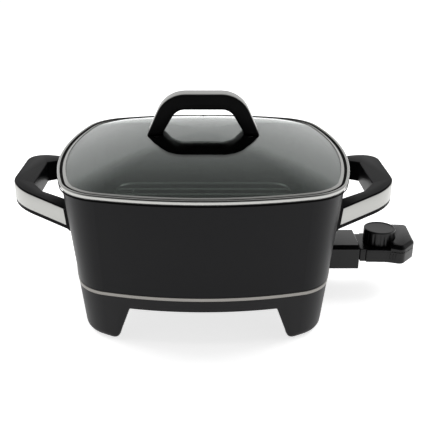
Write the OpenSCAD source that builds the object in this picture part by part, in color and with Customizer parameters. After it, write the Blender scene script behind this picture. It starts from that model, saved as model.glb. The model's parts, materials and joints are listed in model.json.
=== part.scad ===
// Deep electric skillet: a square-round pan on a four-legged base, with a domed
// glass lid that lifts off, a wire rack inside and a probe control that plugs in.
// The legs stand on z = 0, the pan's axis is the Z axis and the probe points along -X.

/* [Lid outline] */
// Width of the lid rim from side to side
lid_w = 320; // [312:2:332]
// Corner radius of the lid rim
corner_r = 56; // [52:1:62]

/* [Heights] */
// Clear height under the base skirt
leg_h = 41.5; // [38:0.5:50]
// Height of the base skirt above its legs
skirt_h = 13.5; // [12:0.5:16]
// Height of the trim ring between base and pan
trim_h = 4; // [3:0.5:6]
// Height of the pan from the trim ring to its rim
pan_h = 105.5; // [96:0.5:118]

/* [Pan] */
// Distance from the lid rim's outside in to the pan's rim
pan_inset = 3; // [2.8:0.1:4]
// How far each pan wall leans in from rim to floor
pan_taper = 11.5; // [9:0.5:14]
// Thickness of the pan wall
pan_wall = 4; // [3:0.5:4.5]
// Thickness of the pan floor
pan_floor = 6; // [5:0.5:8]
// Radius between pan floor and pan wall
pan_fillet = 12; // [6:1:18]

/* [Base] */
// How far each base wall leans in from the trim ring to the feet
base_taper = 6; // [4:0.5:9]
// Thickness of the base wall
base_wall = 4.5; // [3.5:0.5:6]
// Gap between two legs at the skirt
leg_gap = 152; // [144:2:166]
// How far each leg's inner edge draws back from the skirt to the floor
leg_spread = 14; // [8:1:18]
// Thickness of the trim ring in from its face
trim_ring_w = 4; // [3:0.5:5]
// How far the trim ring stands proud of the pan and the base
trim_proud = 0.5; // [0.2:0.1:1]
// Distance of the base screws from the centre along X and along Y
boss_place = 96; // [92:1:99]
// Radius of the bosses under the pan that take the base screws
boss_r = 6; // [5:0.5:7]
// Height of the bosses under the pan
boss_h = 8; // [6:0.5:9]
// Thickness of the base's screw tabs
tab_t = 3; // [2.5:0.5:4]

/* [Heating element] */
// Half width of the element's loop
element_half = 88; // [80:1:90]
// Bend radius of the loop's corners
element_bend = 30; // [25:1:36]
// Radius of the element's tube
element_r = 3.5; // [3:0.25:4]
// Distance between the element's two ends
pin_pitch = 24; // [23:0.5:25]
// Bend radius where the ends leave the loop
feed_bend = 12; // [10:1:16]
// Wall of the cast ridge that holds the element
ridge_wall = 2; // [1.5:0.25:3]
// Depth of the element's centre line below the pan
element_drop = 10; // [9:0.25:11]
// Radius of the terminal pins
pin_r = 2.5; // [2.25:0.25:2.75]
// Length of the terminal pins
pin_l = 32; // [27:1:33]
// Radius of the ceramic bushings on the pins
bushing_r = 4.5; // [4:0.25:5]
// Length of the ceramic bushings
bushing_l = 5; // [4:0.5:5]

/* [Socket guard] */
// Width of the guard
guard_w = 50; // [48:1:54]
// Height of the guard above the probe's axis
guard_up = 12; // [11.5:0.5:14]
// Depth of the guard below the probe's axis
guard_down = 17; // [15:0.5:18]
// Reach of the guard's mouth past the lid rim
guard_reach = 22; // [19:1:24]
// Wall of the guard
guard_wall = 3; // [2:0.5:3]
// Bevel along the guard's upper front edge
guard_bevel = 4; // [2:0.5:5]
// Bevel along the guard's upper back edge
back_bevel = 1.5; // [1:0.5:5]
// Depth of the socket in the guard
socket_depth = 30; // [28:1:31]

/* [Side handles] */
// Width across both side handles
handle_span = 417; // [405:1:430]
// Length of a handle's outer straight
grip_l = 114; // [106:2:122]
// Distance between a handle's outer faces at the pan
root_l = 162; // [156:2:170]
// Width of the bar at the grip
bar_w = 22; // [19:0.5:24]
// Length of the finger gap at the grip
gap_l = 72; // [66:2:78]
// Length of the finger gap past its cut corners
gap_mid_l = 105; // [98:1:110]
// Depth of the finger gap's cut corners
gap_cut = 12; // [8:1:15]
// Length of the finger gap at the pan
gap_root_l = 116; // [112:1:120]
// Drop of the handle's top face below the pan rim
handle_drop = 30; // [26:0.5:34]
// Thickness of the handle
handle_t = 24; // [20:0.5:26]
// Rise of the handle from the pan out to the grip
handle_rise = 14.5; // [10:0.5:18]
// Radius of the grip's outer corners
grip_round = 41; // [30:1:46]
// Radius of the finger gap's corners
gap_round = 4; // [2:1:6]
// Thickness of the steel bands on the handles
band_t = 1; // [0.8:0.1:1.4]
// Plain edge left above a steel band
band_top = 1.6; // [1.2:0.1:3]
// Plain edge left below a steel band
band_low = 4.6; // [2:0.2:5]
// Plain end left between a steel band and the pan
band_end = 3; // [2.5:0.5:5]
// Length of the pan's lugs past their screws
lug_tip = 4; // [3:0.25:4.5]
// Width of the lugs
lug_w = 6; // [5:0.5:6.5]
// Height of the lugs
lug_h = 12; // [10:0.5:14]

/* [Lid] */
// Thickness of the glass
glass_t = 3.6; // [3:0.2:4]
// Height of the dome above the lid rim
dome_h = 25.5; // [20:0.5:32]
// Sheet thickness of the lid rim
rim_t = 0.8; // [0.6:0.1:1]
// Width of the bead round the lid rim
bead_w = 4.6; // [4:0.2:5]
// Width of the flange that laps the glass
lap_w = 3.8; // [3:0.2:4.4]
// Depth of the skirt that sits inside the pan
skirt_d = 5; // [3:0.5:7]
// Play between the lid's skirt and the pan
lid_play = 1.2; // [0.8:0.1:1.6]

/* [Lid handle] */
// Height of the arch above the lid rim
arch_h = 66.5; // [63:0.5:73]
// Thickness of the arch's bar
arch_bar = 17; // [14:0.5:19]
// Depth of the arch from front to back
arch_depth = 25; // [22:1:28]
// Width of the arch over its feet, level with the dome's crown
arch_foot_w = 122; // [116:2:128]
// Width of the arch at its top corners
arch_top_w = 84; // [76:2:90]
// Width of each leg, level with the dome's crown
arch_leg_w = 17; // [15:0.5:19]
// Width of the arch's shoulders beside its opening
arch_shoulder_w = 12.5; // [10:0.5:14]
// Radius of the arch's shoulders
arch_round = 34; // [28:1:36]
// Radius of the opening's shoulders
arch_gap_round = 16; // [12:1:19]
// Plain edge left beside the steel strip on the arch
strip_edge = 2.6; // [2:0.2:4]
// Clear height of the strip's ends above the glass
strip_end = 5; // [3:0.5:8]
// Thickness of the seals under the feet
seal_t = 0.8; // [0.5:0.1:1.2]
// Distance from the dome's edge in to the steam vent
vent_inset = 33; // [26:1:40]
// Radius of the vent's flange
vent_r = 5.2; // [4.4:0.2:6]
// Radius of the vent's hole
vent_hole_r = 2.2; // [1.6:0.2:2.4]

/* [Rack] */
// Distance from the lid rim's outside in to the rack's ring
rack_inset = 47; // [42:1:54]
// Corner radius of the rack's ring
rack_round = 26; // [20:1:34]
// Height of the rack's wires above the pan floor
rack_h = 24; // [22:1:34]
// Radius of the ring's wire
ring_wire_r = 2.5; // [2:0.25:3]
// Radius of the cross wires
cross_wire_r = 1.75; // [1.5:0.25:2]
// Distance from the ring in to the first cross wire
wire_edge = 23; // [18:1:26]
// Number of cross wires
wire_count = 10; // [8:1:11]
// Distance from the ring in to the leg wires
rail_inset = 23; // [18:1:30]
// Distance from the ring in to the leg wires' feet
rail_end = 15; // [12:1:20]
// Bend radius of the leg wires
rail_bend = 8; // [6:1:12]

/* [Probe control] */
// Length of the control outside the guard
ctrl_l = 66; // [62:1:72]
// Width of the control's end
ctrl_w = 64; // [58:1:70]
// Width of the control under its knob
waist_w = 50.5; // [48:0.5:53]
// Width of the collar between the guard and the control's body
collar_w = 44.5; // [42:0.5:46]
// Width of the neck that plugs into the guard
neck_w = 37; // [36.5:0.5:38]
// Depth of the control below the probe's axis
ctrl_down = 9; // [8.5:0.5:10]
// Height of the platform under the knob above the probe's axis
plat_up = 7.5; // [7:0.25:8]
// Height of the control's end above the probe's axis
end_up = 16; // [13:0.5:18]
// Wall of the control's covers
ctrl_wall = 2; // [1.6:0.2:2.2]
// Radius of the probe's tube
probe_r = 4; // [3.5:0.25:4.25]
// Length of the probe inside the pan's boss
probe_l = 72; // [60:1:80]
// Radius of the cord gland's bore
gland_bore_r = 3.75; // [3.25:0.25:4]

/* [Knob] */
// Diameter of the knob
knob_d = 37; // [34:0.5:38]
// Height of the knob
knob_h = 17.5; // [15:0.5:20]
// Distance from the guard's mouth to the knob's axis
knob_x = 26.5; // [26:0.5:28]
// Number of grooves round the knob
knob_grooves = 18; // [14:1:20]
// Radius of the knob's grooves
groove_r = 3.2; // [2.4:0.2:4]
// Depth of the knob's grooves
groove_d = 0.8; // [0.5:0.1:1.1]
// Radius of the knob's spindle
spindle_r = 3; // [2.5:0.25:3.5]

/* [Fits] */
// Gap between pieces that seat in one another
fit = 0.1; // [0.06:0.02:0.2]
// Gap between curved faces of pieces that move apart
move_gap = 0.4; // [0.35:0.05:0.5]
// Gap between the spindle and its hole
spin_fit = 0.05; // [0.03:0.01:0.08]
// Radius of the machine screws' shanks
screw_r = 1.5; // [1.25:0.125:1.5]
// Radius of the machine screws' heads
head_r = 3; // [2.75:0.125:3]
// Height of the machine screws' heads
head_h = 2; // [1.5:0.25:2.5]

/* [Hidden] */
$fn = 64;

// Eight-arc outline: four bowed sides and four corners that meet where the normal
// leans by an angle with sine 0.28 and cosine 0.96
seam_sin = 0.28;
seam_cos = 0.96;
seam_a = asin(seam_sin);
centre_step = 0.25;
arc_gap = centre_step * round((lid_w / 2 - corner_r) / (1 - seam_cos + seam_sin) / centre_step);
corner_c = seam_sin * arc_gap;
bow_d = (seam_cos - seam_sin) * arc_gap;
side_r = arc_gap + corner_r;
half_w = side_r - bow_d;
sweep_lap = 1;
sweep_facets = 360;
core_r = corner_c * sqrt(2) + 2;
side_steps = 6;
corner_steps = 8;
round_steps = 8;
fillet_steps = 4;

// Levels
z_trim = leg_h + skirt_h;
z_pan = z_trim + trim_h;
z_floor = z_pan + pan_floor;
z_rim = z_pan + pan_h;
rim_h = glass_t + 2 * rim_t;
z_lid = z_rim + rim_h;
z_glass = z_rim + rim_t + glass_t;
z_probe = z_pan - element_drop;

// Pan wall
pan_lean = atan(pan_taper / pan_h);
overlap = 1;
far = 2 * lid_w;

// Lid
glass_o = -bead_w - rim_t - fit;
dome_o = -bead_w - rim_t - lap_w - fit;
dome_half = half_w + dome_o;
skirt_o = -pan_inset - pan_wall - lid_play;
dome_rings = [1, 0.93, 0.85, 0.76, 0.66, 0.55, 0.43, 0.3, 0.15];
arch_top = z_lid + arch_h;
z_crown = z_glass + dome_h;
foot_screw_x = (arch_foot_w - arch_leg_w) / 2;
foot_under = dome_z(foot_screw_x) - glass_t;
washer_r = 6.5;
washer_t = 2.5;
foot_bite = 10;
vent_y = dome_half - vent_inset;
vent_sink = 0.35;

// Rack
rack_half = half_w - rack_inset;
z_rack = z_floor + rack_h;
weld = 0.4;
seat_gap = 0.2;

// Socket
x_guard_out = half_w + guard_reach;
x_socket = x_guard_out - socket_depth;
x_guard_back = x_socket - guard_wall;
x_element = half_w + wall_o(z_pan) - base_wall;
element_stub = 2;
x_boss_out = x_element - element_stub;
boss_end = 8;
bore_end = 4;
x_boss_in = x_boss_out - probe_l - boss_end;
boss_wall = 4;
boss_half = probe_r + boss_wall;
boss_floor = 3.5;
z_tongue = z_probe - probe_r - boss_floor;
tongue_t = 2.5;
tongue_end = 8;
tongue_screw = 14;
x_guard_screw = x_boss_out - tongue_screw;
guard_bite = 3;
ridge_r = element_r + ridge_wall;
tab_step = 1.5;
tip_gap = 2;

// Control
nose_gap = 3;
neck_show = 7.5;
collar_gap = 1;
plate_t = 2.5;
x_nose = x_socket + nose_gap;
x_body = x_guard_out + neck_show;
x_end = x_guard_out + ctrl_l;
x_knob = x_guard_out + knob_x;
nest_r = knob_d / 2 + 2 * move_gap;
nest_in = 9;
x_nest = x_knob + nest_in;
x_step = x_knob + nest_r;
z_plat = z_probe + plat_up;
z_split = z_plat - plate_t;
z_end = z_probe + end_up;
z_ctrl = z_probe - ctrl_down;
z_knob = z_plat + move_gap;
knob_cap = 4;
knob_bevel = 1;
sleeve_gap = 0.35;
sleeve_t = 1;
sleeve_r = pin_r + sleeve_gap + sleeve_t;
sleeve_short = 4;
carrier_l = 14;
carrier_in = 8;
x_carrier = x_guard_out - carrier_in;
post_r = 3.6;
post_in = 6;
post_end = 9;
post_bite = 2;
post_gap = 1;
x_post = x_body + post_in;
y_post = waist_w / 2 - ctrl_wall - post_r - post_gap;
gland_end = 12;
gland_wall = 2;
gland_lip = 1;
gland_out = 4;
gland_in = 8;
gland_x = x_end - gland_end;
gland_r = gland_bore_r + gland_wall;

// The control's outline: a waist that flares to the end, whose front corner is cut off
waist_step = 0.8;
flare_l = 16.5;
tail_l = 17;
cut_w = 19;
front_step = 1;
back_step = 1;
x_flare = x_end - tail_l;
ctrl_points = [
  [x_body, waist_step - waist_w / 2],
  [x_flare - flare_l, -waist_w / 2],
  [x_flare, front_step - ctrl_w / 2],
  [x_end, front_step + cut_w - ctrl_w / 2],
  [x_end, ctrl_w / 2 - back_step],
  [x_flare, ctrl_w / 2],
  [x_flare - flare_l, waist_w / 2],
  [x_body, waist_w / 2 - waist_step]
];
ctrl_rounds = [2, 30, 5, 6, 5, 12, 30, 2];
least_round = 0.5;

// Thermostat under the knob
stat_gap = 3;
stat_w = 12;
stat_past = 12;
sheet_t = 0.8;
blade_drop = 3;
arm_rise = 4;
point_r = 2;
point_past = 8;
x_stat = x_carrier + carrier_l + stat_gap;
z_stat = z_ctrl + ctrl_wall;
z_blade = z_split - blade_drop;
z_arm = z_stat + arm_rise;
x_point = x_knob + point_past;

// Side handle
handle_wall_z = z_rim - handle_drop - handle_t / 2;
root_x = half_w + wall_o(handle_wall_z);
grip_x = handle_span / 2;
arm_root = 24;
x_inside = corner_c + arm_root;
outer_slope = (root_l - grip_l) / 2 / (grip_x - root_x);
gap_slope = (gap_root_l - gap_mid_l) / 2 / (grip_x - bar_w - gap_cut - root_x);
lug_in = 3.8;
lug_x = root_x - lug_in;
lug_y = (root_l + gap_root_l) / 4 + (outer_slope + gap_slope) * lug_in / 2;
lug_end = lug_x + lug_tip;
head_sink = 1;
z_handle_seat = z_rim - handle_drop - handle_t + head_h + head_sink;

// Offset of the pan's outer wall from the lid rim's outside at height z
function wall_o(z) = -pan_inset - pan_taper * (z_rim - z) / pan_h;

// Offset of the base's outer wall at height z
function base_o(z) = wall_o(z_pan) - base_taper * (z_trim - z) / z_trim;

// Points of an arc
function arc(centre, r, from, to, steps) =
  [for (i = [0:steps]) let (a = from + (to - from) * i / steps) centre + r * [cos(a), sin(a)]];

// Points of the eight-arc outline, offset by o from the lid rim's outside
function outline(o) = [
  for (quarter = [0:3])
    let (c = cos(90 * quarter), s = sin(90 * quarter))
      for (p = concat(
          arc([-bow_d, 0], side_r + o, -seam_a, seam_a * (1 - 2 / side_steps), side_steps - 1),
          arc([corner_c, corner_c], corner_r + o, seam_a,
            90 - seam_a - (90 - 2 * seam_a) / corner_steps, corner_steps - 1)
        ))
        [c * p.x - s * p.y, s * p.x + c * p.y]
];

// A closed polygon moved inwards by d, with its points in anticlockwise order
function inset(points, d) = [
  for (i = [0:len(points) - 1])
    let (
      n = len(points),
      p = points[i],
      u = p - points[(i + n - 1) % n],
      v = points[(i + 1) % n] - p,
      m = [-u.y, u.x] / norm(u),
      k = [-v.y, v.x] / norm(v)
    )
      p + d * (m + k) / (1 + m * k)
];

// A closed polygon with each corner rounded by its own radius
function rounded(points, radii) = [
  for (i = [0:len(points) - 1])
    let (
      n = len(points),
      p = points[i],
      a = points[(i + n - 1) % n] - p,
      b = points[(i + 1) % n] - p,
      u = a / norm(a),
      v = b / norm(b),
      half = acos(u * v) / 2,
      r = radii[i],
      centre = p + (u + v) / norm(u + v) * r / sin(half),
      from = atan2((p + u * r / tan(half) - centre).y, (p + u * r / tan(half) - centre).x),
      turn = (180 - 2 * half) * sign(u.y * v.x - u.x * v.y)
    )
      each (r == 0 ? [p] : arc(centre, r, from, from + turn, round_steps))
];

// A triangle of point numbers, counted on from a first number
function tri(first, a, b, c) = [first + a, first + b, first + c];

// Height of the dome's outside above a point on the X or Y axis
function dome_z(d) = z_glass + dome_h * (1 - pow(d / dome_half, 2));

// Half width at the lid rim of an arch with a width at the crown's level and one at its top
function leg_reach(foot_w, top_w, top) =
  foot_w / 2 + (foot_w - top_w) / 2 * (z_crown - z_lid) / (top - z_crown);

// Lean of the dome's surface at a distance from its centre
function dome_lean(d) = atan(2 * dome_h * d / pow(dome_half, 2));

// Carries a profile of (offset, height) round the eight-arc outline: each half side
// and half corner starts on their common seam and is cut off at its plane of symmetry
module ring_sweep() {
  for (quarter = [0:3], flip = [0, 1])
    rotate(90 * quarter) mirror([0, flip, 0]) {
      difference() {
        translate([-bow_d, 0, 0])
          rotate(-seam_a)
            rotate_extrude(angle = seam_a + sweep_lap, $fn = sweep_facets)
              translate([side_r, 0]) children();
        translate([0, 0, -far / 2]) cube(far);
      }
      difference() {
        translate([corner_c, corner_c, 0])
          rotate(seam_a)
            rotate_extrude(angle = 45 - seam_a + sweep_lap, $fn = sweep_facets)
              translate([corner_r, 0]) children();
        rotate(45) translate([0, 0, -far / 2]) cube(far);
      }
    }
}

// The space inside the pan's outer wall, widened by gap
module pan_space(gap) {
  ring_sweep()
    polygon([
      [-corner_r, z_pan],
      [wall_o(z_pan) + gap, z_pan],
      [-pan_inset + gap, z_rim],
      [-corner_r, z_rim]
    ]);
  translate([0, 0, z_pan]) cylinder(r = core_r, h = pan_h);
}

// Carries a profile of (across, up) along the element's path
module element_sweep(x_feed) {
  straight = element_half - element_bend;
  feed_y = pin_pitch / 2 + feed_bend;
  for (flip = [0, 1]) mirror([0, flip, 0]) {
    translate([-element_half, 0, z_probe])
      rotate([90, 0, 180]) linear_extrude(straight) children();
    translate([-straight, straight, z_probe])
      rotate(90) rotate_extrude(angle = 90) translate([element_bend, 0]) children();
    translate([-straight, element_half, z_probe])
      rotate([90, 0, 90]) linear_extrude(2 * straight) children();
    translate([straight, straight, z_probe])
      rotate_extrude(angle = 90) translate([element_bend, 0]) children();
    translate([element_half, straight, z_probe])
      rotate([90, 0, 0]) linear_extrude(straight - feed_y) children();
    translate([element_half + feed_bend, feed_y, z_probe])
      rotate(180) rotate_extrude(angle = 90) translate([feed_bend, 0]) children();
    translate([element_half + feed_bend, pin_pitch / 2, z_probe])
      rotate([90, 0, 90]) linear_extrude(x_feed - element_half - feed_bend) children();
  }
}

// A cylinder along X
module bar_x(r, from, to) {
  translate([from, 0, 0]) rotate([0, 90, 0]) cylinder(r = r, h = to - from);
}

// A pan-head screw that points up, with its head's seat at the origin
module screw_up(shank_l) {
  translate([0, 0, -head_h]) cylinder(r = head_r, h = head_h);
  cylinder(r = screw_r, h = shank_l);
}

// Places its children at the four base screws
module at_bosses() {
  for (x = [-boss_place, boss_place], y = [-boss_place, boss_place])
    translate([x, y, 0]) children();
}

// Places its children at the handle lugs of the right-hand side
module at_lugs() {
  for (y = [-lug_y, lug_y]) translate([0, y, 0]) children();
}

// The lugs of the right-hand side, grown by gap
module lugs(gap) {
  at_lugs()
    translate([x_inside, -lug_w / 2 - gap, handle_wall_z - lug_h / 2 - gap])
      cube([lug_end + gap - x_inside, lug_w + 2 * gap, lug_h + 2 * gap]);
}

module pan() {
  inner_top = -pan_inset - pan_wall;
  tangent_z = z_floor + pan_fillet * (1 - sin(pan_lean));
  fillet_c = [
    wall_o(tangent_z) - pan_wall - pan_fillet * cos(pan_lean),
    z_floor + pan_fillet
  ];
  color("#2b2b2d") difference() {
    union() {
      ring_sweep()
        polygon(concat(
          [
            [-corner_r, z_floor],
            [-corner_r, z_pan],
            [wall_o(z_pan), z_pan],
            [-pan_inset, z_rim],
            [inner_top, z_rim]
          ],
          arc(fillet_c, pan_fillet, -pan_lean, -90, fillet_steps)
        ));
      translate([0, 0, z_pan]) cylinder(r = core_r, h = pan_floor);
      element_sweep(x_boss_out)
        translate([-ridge_r, -ridge_r]) square([2 * ridge_r, ridge_r + element_drop + overlap]);
      translate([x_boss_in, -boss_half, z_tongue])
        cube([x_boss_out - x_boss_in, 2 * boss_half, z_pan + overlap - z_tongue]);
      at_bosses()
        translate([0, 0, z_pan - boss_h]) cylinder(r = boss_r, h = boss_h + overlap);
      for (side = [0, 1]) mirror([side, 0, 0]) difference() {
        lugs(0);
        pan_space(-pan_wall / 2);
      }
    }
    element_sweep(x_boss_out + overlap) circle(element_r + fit);
    translate([0, 0, z_probe]) bar_x(probe_r + move_gap, x_boss_in + bore_end, x_boss_out + overlap);
    at_bosses()
      translate([0, 0, z_pan - boss_h - overlap]) cylinder(r = screw_r + fit, h = boss_h + overlap);
    translate([x_guard_screw, 0, z_tongue - overlap])
      cylinder(r = screw_r + fit, h = boss_floor + overlap);
    for (side = [0, 1]) mirror([side, 0, 0])
      at_lugs()
        translate([lug_x, 0, handle_wall_z - lug_h]) cylinder(r = screw_r + fit, h = 2 * lug_h);
  }
}

module heating_element() {
  color("#8d8a86") element_sweep(x_element) circle(element_r);
}

module terminal_bushings() {
  color("#e9e4d8")
    for (y = [-1, 1])
      translate([0, y * pin_pitch / 2, z_probe])
        difference() {
          bar_x(bushing_r, x_element, x_element + bushing_l);
          bar_x(pin_r + fit, x_element - overlap, x_element + bushing_l + overlap);
        }
}

module terminal_pins() {
  color("#c9c6be")
    for (y = [-1, 1])
      translate([0, y * pin_pitch / 2, z_probe]) bar_x(pin_r, x_element, x_element + pin_l);
}

// Cross-section of the guard, with bevelled upper edges
module guard_section(grow) {
  w = guard_w / 2 + grow;
  polygon([
    [-w, -guard_down - grow],
    [w, -guard_down - grow],
    [w, guard_up + grow - back_bevel],
    [w - back_bevel, guard_up + grow],
    [guard_bevel - w, guard_up + grow],
    [-w, guard_up + grow - guard_bevel]
  ]);
}

// A block of the guard's cross-section along X
module guard_block(grow, from, to) {
  translate([from, 0, z_probe]) rotate([90, 0, 90]) linear_extrude(to - from) guard_section(grow);
}

module socket_guard() {
  color("#1c1c1d") difference() {
    union() {
      difference() {
        guard_block(0, x_element + overlap, x_guard_out);
        guard_block(-guard_wall, x_socket, x_guard_out + overlap);
        guard_block(-guard_wall, x_element, x_guard_back);
        pan_space(0);
      }
      translate([x_guard_screw - tongue_end, -boss_half, z_tongue - tongue_t])
        cube([x_guard_back + overlap - x_guard_screw + tongue_end, 2 * boss_half, tongue_t]);
    }
    for (y = [-1, 1])
      translate([0, y * pin_pitch / 2, z_probe])
        bar_x(pin_r + move_gap, x_guard_back - overlap, x_socket + overlap);
    translate([0, 0, z_probe]) bar_x(probe_r + move_gap, x_guard_back - overlap, x_socket + overlap);
    translate([x_guard_screw, 0, z_tongue - tongue_t - overlap])
      cylinder(r = screw_r + fit, h = tongue_t + 2 * overlap);
  }
}

module guard_screw() {
  color("#a9a7a2")
    translate([x_guard_screw, 0, z_tongue - tongue_t]) screw_up(tongue_t + guard_bite);
}

// The gap between the legs on one pair of sides
module leg_cut() {
  rotate([90, 0, 0])
    translate([0, 0, -far / 2])
      linear_extrude(far)
        polygon([
          [-leg_gap / 2, leg_h],
          [-leg_gap / 2 - leg_spread, -overlap],
          [leg_gap / 2 + leg_spread, -overlap],
          [leg_gap / 2, leg_h]
        ]);
}

module base_frame() {
  tab_z = z_pan - boss_h - tab_t;
  tab_end = corner_c * sqrt(2) + corner_r + base_o(tab_z) - base_wall / 2;
  tab_start = boss_place * sqrt(2);
  tab_half = boss_r - tab_step;
  color("#313033") difference() {
    union() {
      difference() {
        ring_sweep()
          polygon([
            [base_o(z_trim), z_trim],
            [base_o(z_trim) - base_wall, z_trim],
            [base_o(0) - base_wall, 0],
            [base_o(0), 0]
          ]);
        leg_cut();
        rotate(90) leg_cut();
      }
      for (corner = [0:3])
        rotate(90 * corner + 45)
          translate([tab_start, -tab_half, tab_z]) cube([tab_end - tab_start, 2 * tab_half, tab_t]);
      at_bosses() translate([0, 0, tab_z]) cylinder(r = boss_r, h = tab_t);
    }
    guard_block(fit, x_element - far / 4, x_guard_out);
    at_bosses()
      translate([0, 0, tab_z - overlap]) cylinder(r = screw_r + fit, h = tab_t + 2 * overlap);
  }
}

module base_trim_ring() {
  outer = wall_o(z_pan) + trim_proud;
  color("#a8a49e") difference() {
    ring_sweep()
      polygon([
        [outer, z_trim],
        [outer, z_pan],
        [outer - trim_ring_w, z_pan],
        [outer - trim_ring_w, z_trim]
      ]);
    guard_block(fit, x_element - far / 4, x_guard_out);
  }
}

module base_screws() {
  color("#a9a7a2")
    at_bosses() translate([0, 0, z_pan - boss_h - tab_t]) screw_up(tab_t + boss_h - tip_gap);
}

// Outer outline of the right-hand handle, moved in by d
module handle_outer(d) {
  in_y = root_l / 2 + outer_slope * (root_x - x_inside);
  points = [[x_inside, -in_y], [grip_x, -grip_l / 2], [grip_x, grip_l / 2], [x_inside, in_y]];
  polygon(rounded(inset(points, d), [0, grip_round - d, grip_round - d, 0]));
}

// Finger gap of the right-hand handle
module handle_gap() {
  tip_x = grip_x - bar_w;
  in_y = gap_root_l / 2 + gap_slope * (root_x - x_inside);
  cut_x = tip_x - gap_cut;
  polygon(rounded(
    [
      [x_inside, -in_y],
      [cut_x, -gap_mid_l / 2],
      [tip_x, -gap_l / 2],
      [tip_x, gap_l / 2],
      [cut_x, gap_mid_l / 2],
      [x_inside, in_y]
    ],
    [0, gap_round, gap_round, gap_round, gap_round, 0]
  ));
}

// Slab that gives the handle its height and tilt, cut back above and below
module handle_slab(above, below) {
  slope = handle_rise / (grip_x - root_x);
  top = z_rim - handle_drop - above;
  low = z_rim - handle_drop - handle_t + below;
  in_z = slope * (root_x - x_inside);
  out_x = grip_x + overlap;
  out_z = slope * (out_x - root_x);
  rotate([90, 0, 0])
    translate([0, 0, -far / 2])
      linear_extrude(far)
        polygon([
          [x_inside, low - in_z],
          [out_x, low + out_z],
          [out_x, top + out_z],
          [x_inside, top - in_z]
        ]);
}

// The steel band of the right-hand handle
module handle_band() {
  color("#c8c8c2") difference() {
    intersection() {
      linear_extrude(far) difference() {
        handle_outer(0);
        handle_outer(band_t);
      }
      handle_slab(band_top, band_low);
    }
    pan_space(band_end);
  }
}

module side_handle() {
  color("#161617") difference() {
    intersection() {
      linear_extrude(far) difference() {
        handle_outer(0);
        handle_gap();
      }
      handle_slab(0, 0);
    }
    pan_space(0);
    difference() {
      intersection() {
        linear_extrude(far) difference() {
          handle_outer(-overlap);
          handle_outer(band_t);
        }
        handle_slab(band_top, band_low);
      }
      pan_space(band_end);
    }
    lugs(fit);
    at_lugs() {
      translate([lug_x, 0, z_handle_seat - far / 4]) cylinder(r = head_r + fit, h = far / 4);
      translate([lug_x, 0, z_handle_seat - overlap])
        cylinder(r = screw_r + fit, h = handle_wall_z - z_handle_seat + overlap);
    }
  }
}

module right_handle() {
  side_handle();
}

module left_handle() {
  mirror([1, 0, 0]) side_handle();
}

module right_handle_band() {
  handle_band();
}

module left_handle_band() {
  mirror([1, 0, 0]) handle_band();
}

module handle_screws() {
  color("#a9a7a2")
    for (side = [0, 1]) mirror([side, 0, 0])
      at_lugs()
        translate([lug_x, 0, z_handle_seat]) screw_up(handle_wall_z + lug_h / 2 - z_handle_seat);
}

// The space under the dome's outside raised by lift, down to the rim
module dome_space(lift) {
  base = outline(dome_o);
  n = len(base);
  m = len(dome_rings);
  points = concat(
    [for (f = dome_rings, p = base) [f * p.x, f * p.y, z_glass + lift + dome_h * (1 - f * f)]],
    [[0, 0, z_glass + lift + dome_h]],
    [for (p = base) [p.x, p.y, z_rim - far / 8]]
  );
  peak = m * n;
  foot = peak + 1;
  faces = concat(
    [for (j = [0:m - 2], i = [0:n - 1]) tri(j * n, i, n + i, (i + 1) % n)],
    [for (j = [0:m - 2], i = [0:n - 1]) tri(j * n, (i + 1) % n, n + i, n + (i + 1) % n)],
    [for (i = [0:n - 1]) [(m - 1) * n + i, peak, (m - 1) * n + (i + 1) % n]],
    [for (i = [0:n - 1]) [foot + i, i, foot + (i + 1) % n]],
    [for (i = [0:n - 1]) [foot + (i + 1) % n, i, (i + 1) % n]],
    [[for (i = [0:n - 1]) foot + i]]
  );
  polyhedron(points, faces);
}

// The domed sheet of glass with its flat edge
module glass_sheet() {
  edge = outline(glass_o);
  base = outline(dome_o);
  n = len(base);
  rings = concat(
    [[for (p = edge) [p.x, p.y, 0]]],
    [for (f = dome_rings) [for (p = base) [f * p.x, f * p.y, dome_h * (1 - f * f)]]]
  );
  m = len(rings);
  peak = m * n;
  under = peak + 1;
  points = concat(
    [for (r = rings, p = r) p + [0, 0, z_glass]],
    [[0, 0, z_glass + dome_h]],
    [for (r = rings, p = r) p + [0, 0, z_glass - glass_t]],
    [[0, 0, z_glass - glass_t + dome_h]]
  );
  faces = concat(
    [for (j = [0:m - 2], i = [0:n - 1]) tri(j * n, i, n + i, (i + 1) % n)],
    [for (j = [0:m - 2], i = [0:n - 1]) tri(j * n, (i + 1) % n, n + i, n + (i + 1) % n)],
    [for (i = [0:n - 1]) [(m - 1) * n + i, peak, (m - 1) * n + (i + 1) % n]],
    [for (j = [0:m - 2], i = [0:n - 1]) tri(under + j * n, i, (i + 1) % n, n + i)],
    [for (j = [0:m - 2], i = [0:n - 1]) tri(under + j * n, (i + 1) % n, n + (i + 1) % n, n + i)],
    [for (i = [0:n - 1]) tri(under, (m - 1) * n + i, (m - 1) * n + (i + 1) % n, peak)],
    [for (i = [0:n - 1]) [under + i, i, under + (i + 1) % n]],
    [for (i = [0:n - 1]) [under + (i + 1) % n, i, (i + 1) % n]]
  );
  polyhedron(points, faces);
}

// Places its children at the two handle feet
module at_feet() {
  for (x = [-foot_screw_x, foot_screw_x]) translate([x, 0, 0]) children();
}

// Places its children on the dome at the vent, along the surface's normal
module at_vent() {
  translate([0, vent_y, dome_z(vent_y)]) rotate([-dome_lean(vent_y), 0, 0]) children();
}

module lid_glass() {
  color("#aebfb6") difference() {
    glass_sheet();
    at_feet() translate([0, 0, z_rim]) cylinder(r = screw_r + 3 * fit, h = far / 4);
    at_vent() cylinder(r = vent_hole_r + rim_t + fit, h = 4 * glass_t, center = true);
  }
}

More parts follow.
